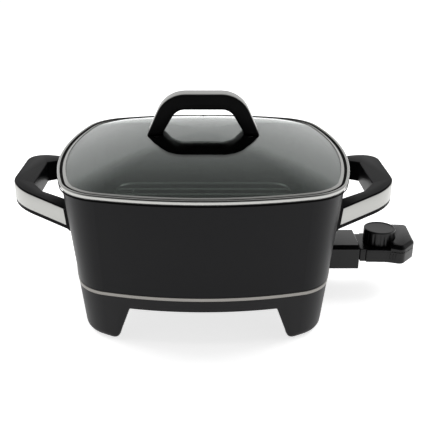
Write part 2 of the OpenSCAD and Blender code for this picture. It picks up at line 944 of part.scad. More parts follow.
module lid_rim() {
  h = rim_h / 4;
  color("#cfcfca") ring_sweep()
    polygon([
      [0, z_rim + h],
      [0, z_lid - h],
      [-h, z_lid],
      [-bead_w + h, z_lid],
      [-bead_w, z_lid - h],
      [-bead_w, z_lid],
      [dome_o + fit, z_lid],
      [dome_o + fit, z_glass],
      [-bead_w - rim_t, z_glass],
      [-bead_w - rim_t, z_rim + rim_t],
      [skirt_o - rim_t, z_rim + rim_t],
      [skirt_o - rim_t, z_rim - skirt_d],
      [skirt_o, z_rim - skirt_d],
      [skirt_o, z_rim],
      [-h, z_rim]
    ]);
}

// Outer outline of the arch, moved in by d
module arch_outer(d) {
  half = leg_reach(arch_foot_w, arch_top_w, arch_top);
  points = [[-half, z_lid], [half, z_lid], [arch_top_w / 2, arch_top], [-arch_top_w / 2, arch_top]];
  polygon(rounded(inset(points, d), [0, 0, arch_round - d, arch_round - d]));
}

// Opening of the arch
module arch_gap() {
  top = arch_top - arch_bar;
  gap_top_w = arch_top_w - 2 * arch_shoulder_w;
  half = leg_reach(arch_foot_w - 2 * arch_leg_w, gap_top_w, top);
  polygon(rounded(
    [[-half, z_lid], [half, z_lid], [gap_top_w / 2, top], [-gap_top_w / 2, top]],
    [0, 0, arch_gap_round, arch_gap_round]
  ));
}

// Stands an outline of (x, z) up and gives it a depth along Y
module stand_up(depth) {
  rotate([90, 0, 0]) linear_extrude(depth, center = true) children();
}

module lid_handle() {
  strip_depth = arch_depth - 2 * strip_edge;
  color("#161617") difference() {
    stand_up(arch_depth) difference() {
      arch_outer(0);
      arch_gap();
    }
    dome_space(seal_t);
    difference() {
      stand_up(strip_depth) difference() {
        arch_outer(-overlap);
        arch_outer(band_t);
      }
      dome_space(strip_end);
    }
    at_feet() translate([0, 0, z_lid])
      cylinder(r = screw_r + fit, h = foot_under + glass_t + foot_bite - z_lid);
  }
}

module lid_handle_strip() {
  color("#c8c8c2") difference() {
    stand_up(arch_depth - 2 * strip_edge) difference() {
      arch_outer(0);
      arch_outer(band_t);
    }
    dome_space(strip_end);
  }
}

module lid_handle_seals() {
  seal_r = arch_leg_w / 2;
  color("#3a3a3c") difference() {
    intersection() {
      at_feet() translate([0, 0, z_lid]) cylinder(r = seal_r, h = 2 * dome_h);
      dome_space(seal_t);
    }
    dome_space(0);
    at_feet() translate([0, 0, z_rim]) cylinder(r = screw_r + fit, h = far / 4);
  }
}

module lid_handle_washers() {
  color("#3a3a3c") difference() {
    intersection() {
      at_feet() translate([0, 0, foot_under - washer_t]) cylinder(r = washer_r, h = 2 * washer_t);
      dome_space(-glass_t);
    }
    at_feet() translate([0, 0, z_rim]) cylinder(r = screw_r + fit, h = far / 4);
  }
}

module lid_handle_screws() {
  color("#c9c6be")
    at_feet() translate([0, 0, foot_under - washer_t]) screw_up(washer_t + glass_t + foot_bite);
}

module steam_vent() {
  color("#b9b8b2") at_vent()
    rotate_extrude()
      polygon([
        [vent_hole_r, -glass_t - 2 * vent_sink - rim_t],
        [vent_r - rim_t, -glass_t - 2 * vent_sink - rim_t],
        [vent_r - rim_t, -glass_t - 2 * vent_sink],
        [vent_hole_r + rim_t, -glass_t - 2 * vent_sink],
        [vent_hole_r + rim_t, vent_sink],
        [vent_r, vent_sink],
        [vent_r - rim_t, vent_sink + rim_t],
        [vent_hole_r, vent_sink + rim_t]
      ]);
}

// A closed wire loop with round corners
module wire_loop(half, bend, r) {
  for (quarter = [0:3]) rotate(90 * quarter) {
    translate([half, bend - half, 0]) rotate([-90, 0, 0]) cylinder(r = r, h = 2 * (half - bend));
    translate([half - bend, half - bend, 0])
      rotate_extrude(angle = 90) translate([bend, 0]) circle(r);
  }
}

module rack_ring() {
  color("#c4c4c0") translate([0, 0, z_rack]) wire_loop(rack_half, rack_round, ring_wire_r);
}

module rack_wires() {
  straight = rack_half - rack_round;
  pitch = 2 * (rack_half - wire_edge) / (wire_count - 1);
  color("#c4c4c0")
    for (i = [0:wire_count - 1])
      let (
        y = (i - (wire_count - 1) / 2) * pitch,
        past = max(0, abs(y) - straight),
        reach = straight + sqrt(pow(rack_round, 2) - pow(past, 2))
      )
        translate([0, y, z_rack]) bar_x(cross_wire_r, -reach, reach);
}

module rack_legs() {
  rail_z = z_rack - 2 * cross_wire_r + weld;
  half = rack_half - rail_end;
  side = rack_half - rail_inset;
  drop = rail_z - rail_bend - z_floor - seat_gap;
  color("#c4c4c0")
    for (x = [-side, side]) translate([x, 0, rail_z]) {
      translate([0, rail_bend - half, 0])
        rotate([-90, 0, 0]) cylinder(r = cross_wire_r, h = 2 * (half - rail_bend));
      for (flip = [0, 1]) mirror([0, flip, 0]) {
        translate([0, half - rail_bend, -rail_bend])
          rotate([90, 0, 90]) rotate_extrude(angle = 90) translate([rail_bend, 0]) circle(cross_wire_r);
        translate([0, half, -rail_bend - drop]) cylinder(r = cross_wire_r, h = drop);
      }
    }
}

// The control's body outline, moved in by d
module ctrl_outline(d) {
  polygon(rounded(inset(ctrl_points, d), [for (r = ctrl_rounds) max(r - d, least_round)]));
}

// A slab of the control's body between two heights
module ctrl_slab(d, low, high) {
  translate([0, 0, low]) linear_extrude(high - low) ctrl_outline(d);
}

// A block of the neck between two heights, moved in by d at its sides and its nose
module neck_block(d, low, high, to) {
  translate([x_nose + d, d - neck_w / 2, low]) cube([to - x_nose - d, neck_w - 2 * d, high - low]);
}

// The collar that closes on the guard's mouth, between two heights
module collar_block(low, high) {
  from = x_guard_out + collar_gap;
  translate([from, -collar_w / 2, low]) cube([x_body + overlap - from, collar_w, high - low]);
}

// Places its children at the control's screw posts
module at_posts() {
  for (y = [-y_post, y_post]) translate([x_post, y, 0]) children();
  translate([x_end - post_end, 0, 0]) children();
}

// The gland's seat
module gland_seat(r) {
  translate([gland_x, ctrl_w / 2 - gland_in, z_probe])
    rotate([-90, 0, 0]) cylinder(r = r, h = 2 * gland_in);
}

module control_lower_cover() {
  inner_z = z_ctrl + ctrl_wall;
  color("#141415") difference() {
    union() {
      difference() {
        union() {
          ctrl_slab(0, z_ctrl, z_split);
          neck_block(0, z_ctrl, z_split, x_body + overlap);
          collar_block(z_ctrl, z_split);
        }
        ctrl_slab(ctrl_wall, inner_z, z_split + overlap);
        neck_block(ctrl_wall, inner_z, z_split + overlap, x_body + 2 * ctrl_wall);
      }
      at_posts() translate([0, 0, z_ctrl]) cylinder(r = post_r, h = z_split - z_ctrl);
    }
    for (y = [-1, 1])
      translate([0, y * pin_pitch / 2, z_probe])
        bar_x(pin_r + move_gap, x_nose - overlap, x_nose + ctrl_wall + overlap);
    translate([0, 0, z_probe]) bar_x(probe_r + fit, x_nose - overlap, x_nose + ctrl_wall + overlap);
    at_posts() {
      translate([0, 0, z_ctrl - overlap]) cylinder(r = head_r + fit, h = head_h + overlap);
      translate([0, 0, z_ctrl]) cylinder(r = screw_r + fit, h = z_split);
    }
    gland_seat(gland_r + fit);
  }
}

module control_upper_cover() {
  color("#141415") difference() {
    union() {
      intersection() {
        ctrl_slab(0, z_split, z_end);
        union() {
          difference() {
            translate([x_nest, -far / 2, z_split]) cube([far, far, z_end]);
            translate([x_knob, 0, z_plat]) cylinder(r = nest_r, h = far);
          }
          translate([0, -far / 2, z_split]) cube([far, far, z_plat - z_split]);
        }
      }
      neck_block(0, z_split, z_plat, x_body + overlap);
      collar_block(z_split, z_plat);
    }
    difference() {
      intersection() {
        ctrl_slab(ctrl_wall, z_split - overlap, z_end - ctrl_wall);
        translate([x_step + ctrl_wall, -far / 2, z_split - overlap]) cube([far, far, z_end]);
      }
      at_posts() cylinder(r = post_r, h = far);
    }
    at_posts()
      translate([0, 0, z_split - overlap]) cylinder(r = screw_r + fit, h = overlap + post_bite);
    translate([x_knob, 0, z_split - overlap]) cylinder(r = spindle_r + spin_fit, h = far);
    gland_seat(gland_r + fit);
  }
}

module control_screws() {
  seat = z_ctrl + head_h;
  color("#a9a7a2") at_posts() translate([0, 0, seat]) screw_up(z_split + post_bite - seat);
}

module probe_tube() {
  tip = x_boss_out - probe_l;
  color("#c9c6be") translate([0, 0, z_probe]) {
    bar_x(probe_r, tip + probe_r, x_carrier + carrier_l);
    translate([tip + probe_r, 0, 0]) sphere(probe_r);
  }
}

module contact_sleeves() {
  color("#b8923f")
    for (y = [-1, 1])
      translate([0, y * pin_pitch / 2, z_probe])
        difference() {
          bar_x(sleeve_r, x_nose + ctrl_wall + fit, x_carrier + carrier_l - sleeve_short);
          bar_x(pin_r + sleeve_gap, x_nose, x_carrier + carrier_l);
        }
}

module contact_carrier() {
  color("#6b3b22") difference() {
    translate([x_carrier, ctrl_wall + fit - neck_w / 2, z_ctrl + ctrl_wall])
      cube([carrier_l, neck_w - 2 * ctrl_wall - 2 * fit, z_split - z_ctrl - ctrl_wall - fit]);
    for (y = [-1, 1])
      translate([0, y * pin_pitch / 2, z_probe])
        bar_x(sleeve_r + fit, x_carrier - overlap, x_carrier + carrier_l + overlap);
    translate([0, 0, z_probe]) bar_x(probe_r + fit, x_carrier - overlap, x_carrier + carrier_l + overlap);
  }
}

module thermostat_bracket() {
  color("#9a9a96") translate([x_stat, -stat_w / 2, z_stat]) {
    cube([x_knob + stat_past - x_stat, stat_w, sheet_t]);
    cube([sheet_t, stat_w, z_blade - z_stat]);
  }
}

module bimetal_blade() {
  color("#a98a52")
    translate([x_stat, -stat_w / 2 + sheet_t, z_blade])
      cube([x_point + 2 * point_r - x_stat, stat_w - 2 * sheet_t, sheet_t]);
}

module contact_arm() {
  color("#b06f3c")
    translate([x_stat + sheet_t, -stat_w / 3, z_arm])
      cube([x_point + point_r - x_stat, 2 * stat_w / 3, sheet_t]);
}

module contact_points() {
  mid = (z_arm + sheet_t + z_blade) / 2;
  color("#d6d6d2") translate([x_point, 0, 0]) {
    translate([0, 0, z_arm + sheet_t]) cylinder(r = point_r, h = mid - z_arm - sheet_t);
    translate([0, 0, mid + fit]) cylinder(r = point_r, h = z_blade - mid - fit);
  }
}

module cord_gland() {
  color("#1e1e1f")
    translate([gland_x, 0, z_probe]) rotate([-90, 0, 0]) difference() {
      union() {
        translate([0, 0, ctrl_w / 2 - gland_in]) cylinder(r = gland_r, h = gland_in + gland_out);
        translate([0, 0, ctrl_w / 2 + fit]) cylinder(r = gland_r + gland_lip, h = gland_out - fit);
      }
      cylinder(r = gland_bore_r, h = far);
    }
}

module knob() {
  r = knob_d / 2;
  color("#121213") translate([x_knob, 0, z_knob]) difference() {
    rotate_extrude()
      polygon([[0, 0], [r, 0], [r, knob_h - knob_bevel], [r - knob_bevel, knob_h], [0, knob_h]]);
    for (i = [0:knob_grooves - 1])
      rotate(360 * i / knob_grooves) translate([r + groove_r - groove_d, 0, -overlap])
        cylinder(r = groove_r, h = knob_h - 2 * knob_bevel);
    translate([0, 0, -overlap]) cylinder(r = spindle_r + fit, h = knob_h - knob_cap + overlap);
  }
}

module knob_spindle() {
  low = z_blade + sheet_t + move_gap;
  color("#b9b8b2")
    translate([x_knob, 0, low]) cylinder(r = spindle_r, h = z_knob + knob_h - knob_cap - low);
}

pan();
heating_element();
terminal_bushings();
terminal_pins();
socket_guard();
guard_screw();
base_frame();
base_trim_ring();
base_screws();
left_handle();
right_handle();
left_handle_band();
right_handle_band();
handle_screws();
lid_glass();
lid_rim();
lid_handle();
lid_handle_strip();
lid_handle_seals();
lid_handle_washers();
lid_handle_screws();
steam_vent();
rack_ring();
rack_wires();
rack_legs();
control_lower_cover();
control_upper_cover();
probe_tube();
contact_sleeves();
contact_carrier();
thermostat_bracket();
bimetal_blade();
contact_arm();
contact_points();
cord_gland();
control_screws();
knob();
knob_spindle();
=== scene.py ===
"""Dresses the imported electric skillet: glass lid, side handles, plug-in control and finishes.

Lengths are written in millimetres and become metres when a mesh is made.
"""

from __future__ import annotations

import json
import logging
import math
from dataclasses import dataclass
from enum import Enum

import bmesh
import bpy
import numpy as np
from numpy.typing import ArrayLike, NDArray
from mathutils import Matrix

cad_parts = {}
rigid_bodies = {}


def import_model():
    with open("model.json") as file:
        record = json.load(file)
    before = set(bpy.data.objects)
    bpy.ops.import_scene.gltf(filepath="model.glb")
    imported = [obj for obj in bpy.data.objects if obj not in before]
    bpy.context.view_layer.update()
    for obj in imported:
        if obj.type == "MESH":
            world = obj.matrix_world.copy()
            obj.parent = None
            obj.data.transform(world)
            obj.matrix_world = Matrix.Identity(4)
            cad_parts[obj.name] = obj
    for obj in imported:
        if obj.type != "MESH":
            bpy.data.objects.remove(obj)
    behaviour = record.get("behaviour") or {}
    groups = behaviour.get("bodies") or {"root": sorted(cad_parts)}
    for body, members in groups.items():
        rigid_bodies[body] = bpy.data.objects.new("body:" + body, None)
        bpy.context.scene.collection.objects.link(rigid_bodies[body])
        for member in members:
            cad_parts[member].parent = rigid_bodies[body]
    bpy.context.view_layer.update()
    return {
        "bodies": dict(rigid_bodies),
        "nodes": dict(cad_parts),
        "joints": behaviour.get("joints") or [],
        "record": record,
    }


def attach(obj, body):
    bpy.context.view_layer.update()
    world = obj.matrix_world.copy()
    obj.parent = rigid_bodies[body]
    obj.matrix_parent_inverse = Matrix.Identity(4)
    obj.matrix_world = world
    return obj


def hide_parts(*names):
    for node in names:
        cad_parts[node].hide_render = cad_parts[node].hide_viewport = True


Array = NDArray[np.float64]
Colour = tuple[float, float, float]

LOG = logging.getLogger("skillet")
MM = 0.001
FRAME_PX = 427

# Points closer than this become one.
MERGE = 0.01
# Least radius of a rounded corner that is moved in.
LEAST_ROUND = 0.05
# Rounds of a repeated substitution.
ROUNDS = 16
# Points on a round hole, and the turn that keeps its rays off the axes.
HOLE_STEPS = 32
HOLE_TURN = 0.01


class Side(Enum):
    """The side of the pan that a handle stands on."""

    LEFT = -1.0
    RIGHT = 1.0


class GrainRun(Enum):
    """How a finish's fine grain is drawn out along X, Y and Z."""

    EVEN = (1.0, 1.0, 1.0)
    ROUND = (0.12, 0.12, 1.0)
    ALONG_Y = (1.0, 0.04, 1.0)


def unit(vectors: Array) -> Array:
    """Scales every row vector to length one."""
    return vectors / np.linalg.norm(vectors, axis=-1, keepdims=True)


def rounded(points: Array, radii: ArrayLike, steps: int = 8) -> Array:
    """Rounds the corners of a closed outline.

    Each corner becomes an arc that touches both its edges: the arc's centre lies on the corner's
    bisector, at radius / sin(half angle) from the corner. A corner of radius 0 stays one point.

    Args:
        points: Corners in order, one row each.
        radii: Radius of each corner.
        steps: Points on each arc.

    Returns:
        The rounded outline.
    """
    radii = np.asarray(radii, float)[:, None]
    back = unit(np.roll(points, 1, axis=0) - points)
    ahead = unit(np.roll(points, -1, axis=0) - points)
    half = np.arccos(np.clip((back * ahead).sum(1, keepdims=True), -1, 1)) / 2
    centre = points + unit(back + ahead) * radii / np.sin(half)
    start = points + back * radii / np.tan(half) - centre
    end = points + ahead * radii / np.tan(half) - centre
    first = np.arctan2(start[:, 1], start[:, 0])
    cross = start[:, 0] * end[:, 1] - start[:, 1] * end[:, 0]
    turn = np.arctan2(cross, (start * end).sum(1))
    angle = first[:, None] + turn[:, None] * np.linspace(0, 1, steps)
    arc = np.stack([np.cos(angle), np.sin(angle)], axis=-1)
    kept = (radii > 0) | (np.arange(steps) == 0)
    return (centre[:, None] + radii[:, None] * arc)[kept]


def inset(outline: Array, depth: float) -> Array:
    """Moves a closed outline inwards.

    Every point moves along the mean of its two edge normals, far enough to keep both edges at the
    wanted depth.

    Args:
        outline: Points in counter-clockwise order.
        depth: Distance inwards.

    Returns:
        The moved outline.
    """
    edge = unit(np.roll(outline, -1, axis=0) - outline)
    normal = np.stack([-edge[:, 1], edge[:, 0]], axis=1)
    mean = normal + np.roll(normal, 1, axis=0)
    return outline + depth * 2 * mean / (mean * mean).sum(1, keepdims=True)


def box_corners(start: ArrayLike, end: ArrayLike) -> Array:
    """The four corners of an upright rectangle between two opposite ones."""
    (x0, y0), (x1, y1) = start, end
    return np.array([[x0, y0], [x1, y0], [x1, y1], [x0, y1]], float)


def carried(points: Array, normals: Array, offset: Array, height: Array) -> Array:
    """Carries a section along a line: (P + offset * N, height) for each point P and its normal N."""
    plan = points[:, None] + np.atleast_2d(offset)[..., None] * normals[:, None]
    return np.concatenate([plan, np.broadcast_to(height, plan.shape[:2])[..., None]], axis=-1)


def quarter_round(radius: float, steps: int = 5) -> Array:
    """Rows of (inset, height lost) down a rounded edge, from (radius, 0) to (0, radius)."""
    angle = np.linspace(0, np.pi / 2, steps)
    return radius * np.stack([1 - np.sin(angle), 1 - np.cos(angle)], axis=1)


def slab_levels(low: float, top: float, under: float, over: float) -> Array:
    """Rows of (depth, height) up a slab, with edges of radius under below and radius over above."""
    lower, upper = quarter_round(under), quarter_round(over)[::-1]
    return np.vstack([lower + [0, low], upper * [1, -1] + [0, top]])


@dataclass(frozen=True)
class Plan:
    """A closed outline: corners in counter-clockwise order, each with its own rounding."""

    corners: Array
    radii: ArrayLike
    steps: int = 8

    def ring(self, depth: float = 0.0) -> Array:
        """The outline moved inwards by a depth.

        The corners are moved first and rounded after, with the depth taken off the radius where the
        outline turns out and added where it turns in. A corner of radius 0 stays sharp.

        Args:
            depth: Distance inwards.

        Returns:
            Points in counter-clockwise order, as many for every depth.
        """
        given = np.asarray(self.radii, float)
        back = self.corners - np.roll(self.corners, 1, axis=0)
        ahead = np.roll(self.corners, -1, axis=0) - self.corners
        turns_out = back[:, 0] * ahead[:, 1] > back[:, 1] * ahead[:, 0]
        radii = np.where(turns_out, np.maximum(given - depth, LEAST_ROUND), given + depth)
        return rounded(inset(self.corners, depth), radii * (given > 0), self.steps)

    def stack(self, levels: Array) -> Array:
        """Rings at rows of (depth, height), as (rows, points, 3)."""
        rings = np.stack([self.ring(depth) for depth in levels[:, 0]])
        return np.insert(rings, 2, levels[:, 1:], axis=-1)


@dataclass(frozen=True)
class Holes:
    """A row of holes across Y: the probe's in the middle and a pin's on either side."""

    pin_r: float
    probe_r: float
    pin_half: float = 12.0
    axis_z: float = 49.0


class Skin:
    """Gathers grids of points in millimetres and makes one closed mesh of them."""

    def __init__(self, name: str) -> None:
        """Starts an empty skin.

        Args:
            name: Name of the object that it becomes.
        """
        self.name = name
        self.points: list[Array] = []
        self.faces: list[list[int]] = []
        self.count = 0

    def grid(self, rows: Array, wrap_rows: bool = False) -> Skin:
        """Adds a grid of quads, with its last column joined to the first.

        Args:
            rows: Points as (rows, columns, 3).
            wrap_rows: Joins the last row to the first too.

        Returns:
            The skin.
        """
        first = self.count
        self.points.append(rows.reshape(-1, 3))
        self.count += len(self.points[-1])
        number = np.arange(first, self.count).reshape(rows.shape[:2])
        number = np.vstack([number, number[:1]]) if wrap_rows else number
        number = np.hstack([number, number[:, :1]])
        corners = (number[:-1, :-1], number[:-1, 1:], number[1:, 1:], number[1:, :-1])
        self.faces += np.stack(corners, axis=-1).reshape(-1, 4).tolist()
        return self

    def tube(self, rows: Array) -> Skin:
        """Adds a grid of closed rings, with a flat face over its first and its last ring.

        Args:
            rows: Points as (rows, columns, 3).

        Returns:
            The skin.
        """
        first, columns = self.count, rows.shape[1]
        self.grid(rows)
        for start in (first, self.count - columns):
            self.faces.append(list(range(start, start + columns)))
        return self

    def pierced(self, box: Array, centre: Array, radius: float, depth: float) -> None:
        """Adds a block with a round hole along X, from its first face inwards.

        Each ring has one point for each angle: the circle's own, or where a ray from the circle's
        centre at that angle leaves the block's (y, z) face. The rays to the four corners are among
        the angles.

        Args:
            box: Rows of the block's first and far corner; the hole opens at the first corner's x.
            centre: The hole's (y, z).
            radius: The hole's radius.
            depth: How far the hole goes in; 0 goes right through.
        """
        (first, *near), (last, *far) = box
        corner = box_corners(near, far) - centre
        angle = np.sort(np.concatenate([
            np.linspace(-np.pi, np.pi, HOLE_STEPS, endpoint=False) + HOLE_TURN,
            np.arctan2(corner[:, 1], corner[:, 0]),
        ]))
        ray = np.stack([np.cos(angle), np.sin(angle)], axis=1)
        limit = np.where(ray > 0, far, near) - centre
        reach = (limit / ray).min(axis=1, keepdims=True)
        circle, face = centre + radius * ray, centre + reach * ray
        end = first + math.copysign(depth, last - first) if depth else last
        rows = np.stack([
            np.column_stack([np.full(len(angle), x), ring])
            for x, ring in ((end, circle), (first, circle), (first, face), (last, face))
        ])
        if depth:
            self.tube(rows)
        else:
            self.grid(rows, wrap_rows=True)

    def pierced_row(self, box: Array, holes: Holes, depth: float = 0.0) -> None:
        """Adds three pierced blocks side by side, for the pins and the probe.

        Args:
            box: Rows of the row's first and far corner; the holes open at the first corner's x.
            holes: The row of holes.
            depth: How far the holes go in; 0 goes right through.
        """
        middle = holes.pin_half / 2
        edges = (box[0, 1], -middle, middle, box[1, 1])
        places = (-holes.pin_half, 0.0, holes.pin_half)
        radii = (holes.pin_r, holes.probe_r, holes.pin_r)
        for near, far, place, radius in zip(edges, edges[1:], places, radii):
            block = box.copy()
            block[:, 1] = near, far
            self.pierced(block, np.array([place, holes.axis_z]), radius, depth)

    def build(self, sharp: float = 40.0) -> bpy.types.Object:
        """Makes the object, with doubles merged and faces turned outwards.

        Args:
            sharp: Angle in degrees past which an edge stays sharp.

        Returns:
            The linked object, at the origin.
        """
        mesh = bpy.data.meshes.new(self.name)
        mesh.from_pydata((np.vstack(self.points) * MM).tolist(), [], self.faces)
        shape = bmesh.new()
        shape.from_mesh(mesh)
        bmesh.ops.remove_doubles(shape, verts=shape.verts, dist=MERGE * MM)
        bmesh.ops.recalc_face_normals(shape, faces=shape.faces)
        shape.to_mesh(mesh)
        shape.free()
        mesh.shade_smooth()
        mesh.set_sharp_from_angle(angle=math.radians(sharp))
        piece = bpy.data.objects.new(self.name, mesh)
        bpy.context.scene.collection.objects.link(piece)
        return piece


def feed(tree: bpy.types.NodeTree, node: bpy.types.Node, inputs: dict) -> None:
    """Fills a node's inputs: a socket is linked, any other value is set on the input itself.

    Args:
        tree: The node's tree.
        node: The node.
        inputs: A value or socket for each input, by name or place.
    """
    for key, value in inputs.items():
        if isinstance(value, bpy.types.NodeSocket):
            tree.links.new(value, node.inputs[key])
        else:
            node.inputs[key].default_value = value


def add_node(
    tree: bpy.types.NodeTree, kind: str, inputs: dict | None = None, **settings: object
) -> bpy.types.Node:
    """Adds a node to a tree.

    Args:
        tree: The tree.
        kind: Blender's name of the node's type.
        inputs: A value or socket for each input, by name or place.
        settings: The node's other properties.

    Returns:
        The node.
    """
    node = tree.nodes.new(kind)
    for name, value in settings.items():
        setattr(node, name, value)
    feed(tree, node, inputs or {})
    return node


def math_node(tree: bpy.types.NodeTree, operation: str, *inputs: object) -> bpy.types.NodeSocket:
    """Adds a math node with its inputs in order, and returns its output."""
    return add_node(tree, "ShaderNodeMath", dict(enumerate(inputs)), operation=operation).outputs[0]


def new_material(name: str) -> tuple[bpy.types.Material, bpy.types.NodeTree, bpy.types.Node]:
    """Makes a material.

    Args:
        name: Name of the material.

    Returns:
        The material, its tree and its Principled shader.
    """
    made = bpy.data.materials.new(name)
    made.use_nodes = True
    return made, made.node_tree, made.node_tree.nodes["Principled BSDF"]


class Grain:
    """The shader node groups that the finishes share."""

    FINE_DETAIL = 2.0
    PATCH_DETAIL = 4.0

    def __init__(self) -> None:
        """Builds both groups."""
        self.fine = self._fine()
        self.patch = self._patch()

    @staticmethod
    def _group(name: str, inputs: dict[str, str], outputs: dict[str, str]) -> bpy.types.NodeTree:
        """Makes an empty group.

        Args:
            name: Name of the group.
            inputs: Socket type of each input, by name.
            outputs: Socket type of each output, by name.

        Returns:
            The group, with its input and output nodes.
        """
        tree = bpy.data.node_groups.new(name, "ShaderNodeTree")
        for way, sockets in (("INPUT", inputs), ("OUTPUT", outputs)):
            for label, kind in sockets.items():
                tree.interface.new_socket(label, in_out=way, socket_type=f"NodeSocket{kind}")
        tree.nodes.new("NodeGroupInput").name = "given"
        tree.nodes.new("NodeGroupOutput").name = "made"
        return tree

    def _fine(self) -> bpy.types.NodeTree:
        """Fine grain: noise drawn out along the finish's run, as a height.

        Returns:
            The group.
        """
        tree = self._group(
            "fine_grain", {"Vector": "Vector", "Run": "Vector", "Scale": "Float"}, {"Height": "Float"}
        )
        given = tree.nodes["given"].outputs
        drawn = add_node(
            tree, "ShaderNodeVectorMath", {0: given["Vector"], 1: given["Run"]}, operation="MULTIPLY"
        )
        noise = add_node(tree, "ShaderNodeTexNoise", {
            "Vector": drawn.outputs["Vector"], "Scale": given["Scale"], "Detail": self.FINE_DETAIL,
        })
        feed(tree, tree.nodes["made"], {"Height": noise.outputs["Fac"]})
        return tree

    def _patch(self) -> bpy.types.NodeTree:
        """Broad patches: a colour and a roughness that drift over the surface.

        Returns:
            The group.
        """
        tree = self._group(
            "handled_patches",
            {
                "Vector": "Vector", "Scale": "Float", "Color": "Color", "Tint": "Float",
                "Roughness": "Float", "Spread": "Float",
            },
            {"Color": "Color", "Roughness": "Float"},
        )
        given = tree.nodes["given"].outputs
        noise = add_node(tree, "ShaderNodeTexNoise", {
            "Vector": given["Vector"], "Scale": given["Scale"], "Detail": self.PATCH_DETAIL,
        })
        centred = math_node(tree, "SUBTRACT", noise.outputs["Fac"], 0.5)
        rough = math_node(tree, "MULTIPLY_ADD", centred, given["Spread"], given["Roughness"])
        gain = math_node(tree, "MULTIPLY_ADD", centred, given["Tint"], 1.0)
        shade = add_node(
            tree, "ShaderNodeVectorMath", {0: given["Color"], "Scale": gain}, operation="SCALE"
        )
        feed(tree, tree.nodes["made"], {"Color": shade.outputs["Vector"], "Roughness": rough})
        return tree


@dataclass(frozen=True)
class Finish:
    """A solid finish with fine grain in its surface and broad patches in its gloss."""

    slot: str
    colour: Colour
    roughness: float
    spread: float = 0.12
    metallic: float = 0.0
    specular: float = 0.3
    tint: float = 0.25
    patch_scale: float = 22.0
    grain_scale: float = 1400.0
    grain_depth: float = 0.02
    run: GrainRun = GrainRun.EVEN

    def material(self, grain: Grain) -> bpy.types.Material:
        """Builds the material.

        Args:
            grain: The shared node groups.

        Returns:
            The finished material.
        """
        made, tree, shader = new_material(self.slot)
        place = add_node(tree, "ShaderNodeTexCoord").outputs["Object"]
        patch = add_node(tree, "ShaderNodeGroup", {
            "Vector": place, "Scale": self.patch_scale, "Color": (*self.colour, 1.0),
            "Tint": self.tint, "Roughness": self.roughness, "Spread": self.spread,
        }, node_tree=grain.patch)
        fine = add_node(tree, "ShaderNodeGroup", {
            "Vector": place, "Run": self.run.value, "Scale": self.grain_scale,
        }, node_tree=grain.fine)
        bump = add_node(tree, "ShaderNodeBump", {
            "Distance": self.grain_depth * MM, "Height": fine.outputs["Height"],
        })
        feed(tree, shader, {
            "Metallic": self.metallic,
            "Specular IOR Level": self.specular,
            "Base Color": patch.outputs["Color"],
            "Roughness": patch.outputs["Roughness"],
            "Normal": bump.outputs["Normal"],
        })
        return made


@dataclass(frozen=True)
class ClearGlass:
    """Tempered glass, faintly grey-green, with wiped patches in its gloss."""

    slot: str = "lid_glass"
    colour: Colour = (0.66, 0.72, 0.69)
    gleam: Colour = (0.90, 1.0, 0.94)
    bending: float = 1.5
    roughness: float = 0.006
    spread: float = 0.008
    patch_scale: float = 9.0

    def material(self, grain: Grain) -> bpy.types.Material:
        """Builds the material.

        Args:
            grain: The shared node groups.

        Returns:
            The finished material.
        """
        made, tree, shader = new_material(self.slot)
        patch = add_node(tree, "ShaderNodeGroup", {
            "Vector": add_node(tree, "ShaderNodeTexCoord").outputs["Object"],
            "Scale": self.patch_scale, "Roughness": self.roughness, "Spread": self.spread,
        }, node_tree=grain.patch)
        feed(tree, shader, {
            "Base Color": (*self.colour, 1.0),
            "Transmission Weight": 1.0,
            "IOR": self.bending,
            "Specular Tint": (*self.gleam, 1.0),
            "Roughness": patch.outputs["Roughness"],
        })
        return made


FINISHES = (
    ClearGlass(),
    Finish("coated_pan", (0.0085, 0.0085, 0.0098), 0.38, specular=0.15),
    Finish("base_plastic", (0.017, 0.0165, 0.018), 0.46, specular=0.2, grain_depth=0.03),
    Finish("black_plastic", (0.0085, 0.0085, 0.0090), 0.33, specular=0.05),
    Finish("gloss_black", (0.002, 0.002, 0.0024), 0.22, spread=0.08),
    Finish("knob_plastic", (0.002, 0.002, 0.0024), 0.28, specular=0.34),
    Finish("band_steel", (0.41, 0.41, 0.395), 0.30, metallic=1.0, tint=0.08, run=GrainRun.ALONG_Y),
    Finish("trim_steel", (0.26, 0.25, 0.235), 0.36, metallic=1.0, tint=0.08, run=GrainRun.ROUND),
    Finish("rim_steel", (0.43, 0.43, 0.415), 0.20, metallic=1.0, tint=0.06, run=GrainRun.ROUND),
    Finish("bright_steel", (0.55, 0.55, 0.53), 0.28, metallic=1.0, tint=0.08),
    Finish("rack_wire", (0.85, 0.87, 0.83), 0.14, metallic=1.0, tint=0.08),
    Finish("element_steel", (0.10, 0.095, 0.09), 0.48, metallic=0.8),
    Finish("contact_brass", (0.62, 0.44, 0.16), 0.30, metallic=1.0, tint=0.10),
    Finish("ceramic", (0.72, 0.69, 0.62), 0.50, tint=0.08),
    # Seal rubber; its black also serves the lid rim's painted shade strips.
    Finish("seal_rubber", (0.002, 0.002, 0.002), 0.60, specular=0.02),
    Finish("carrier_plastic", (0.14, 0.045, 0.018), 0.50),
)


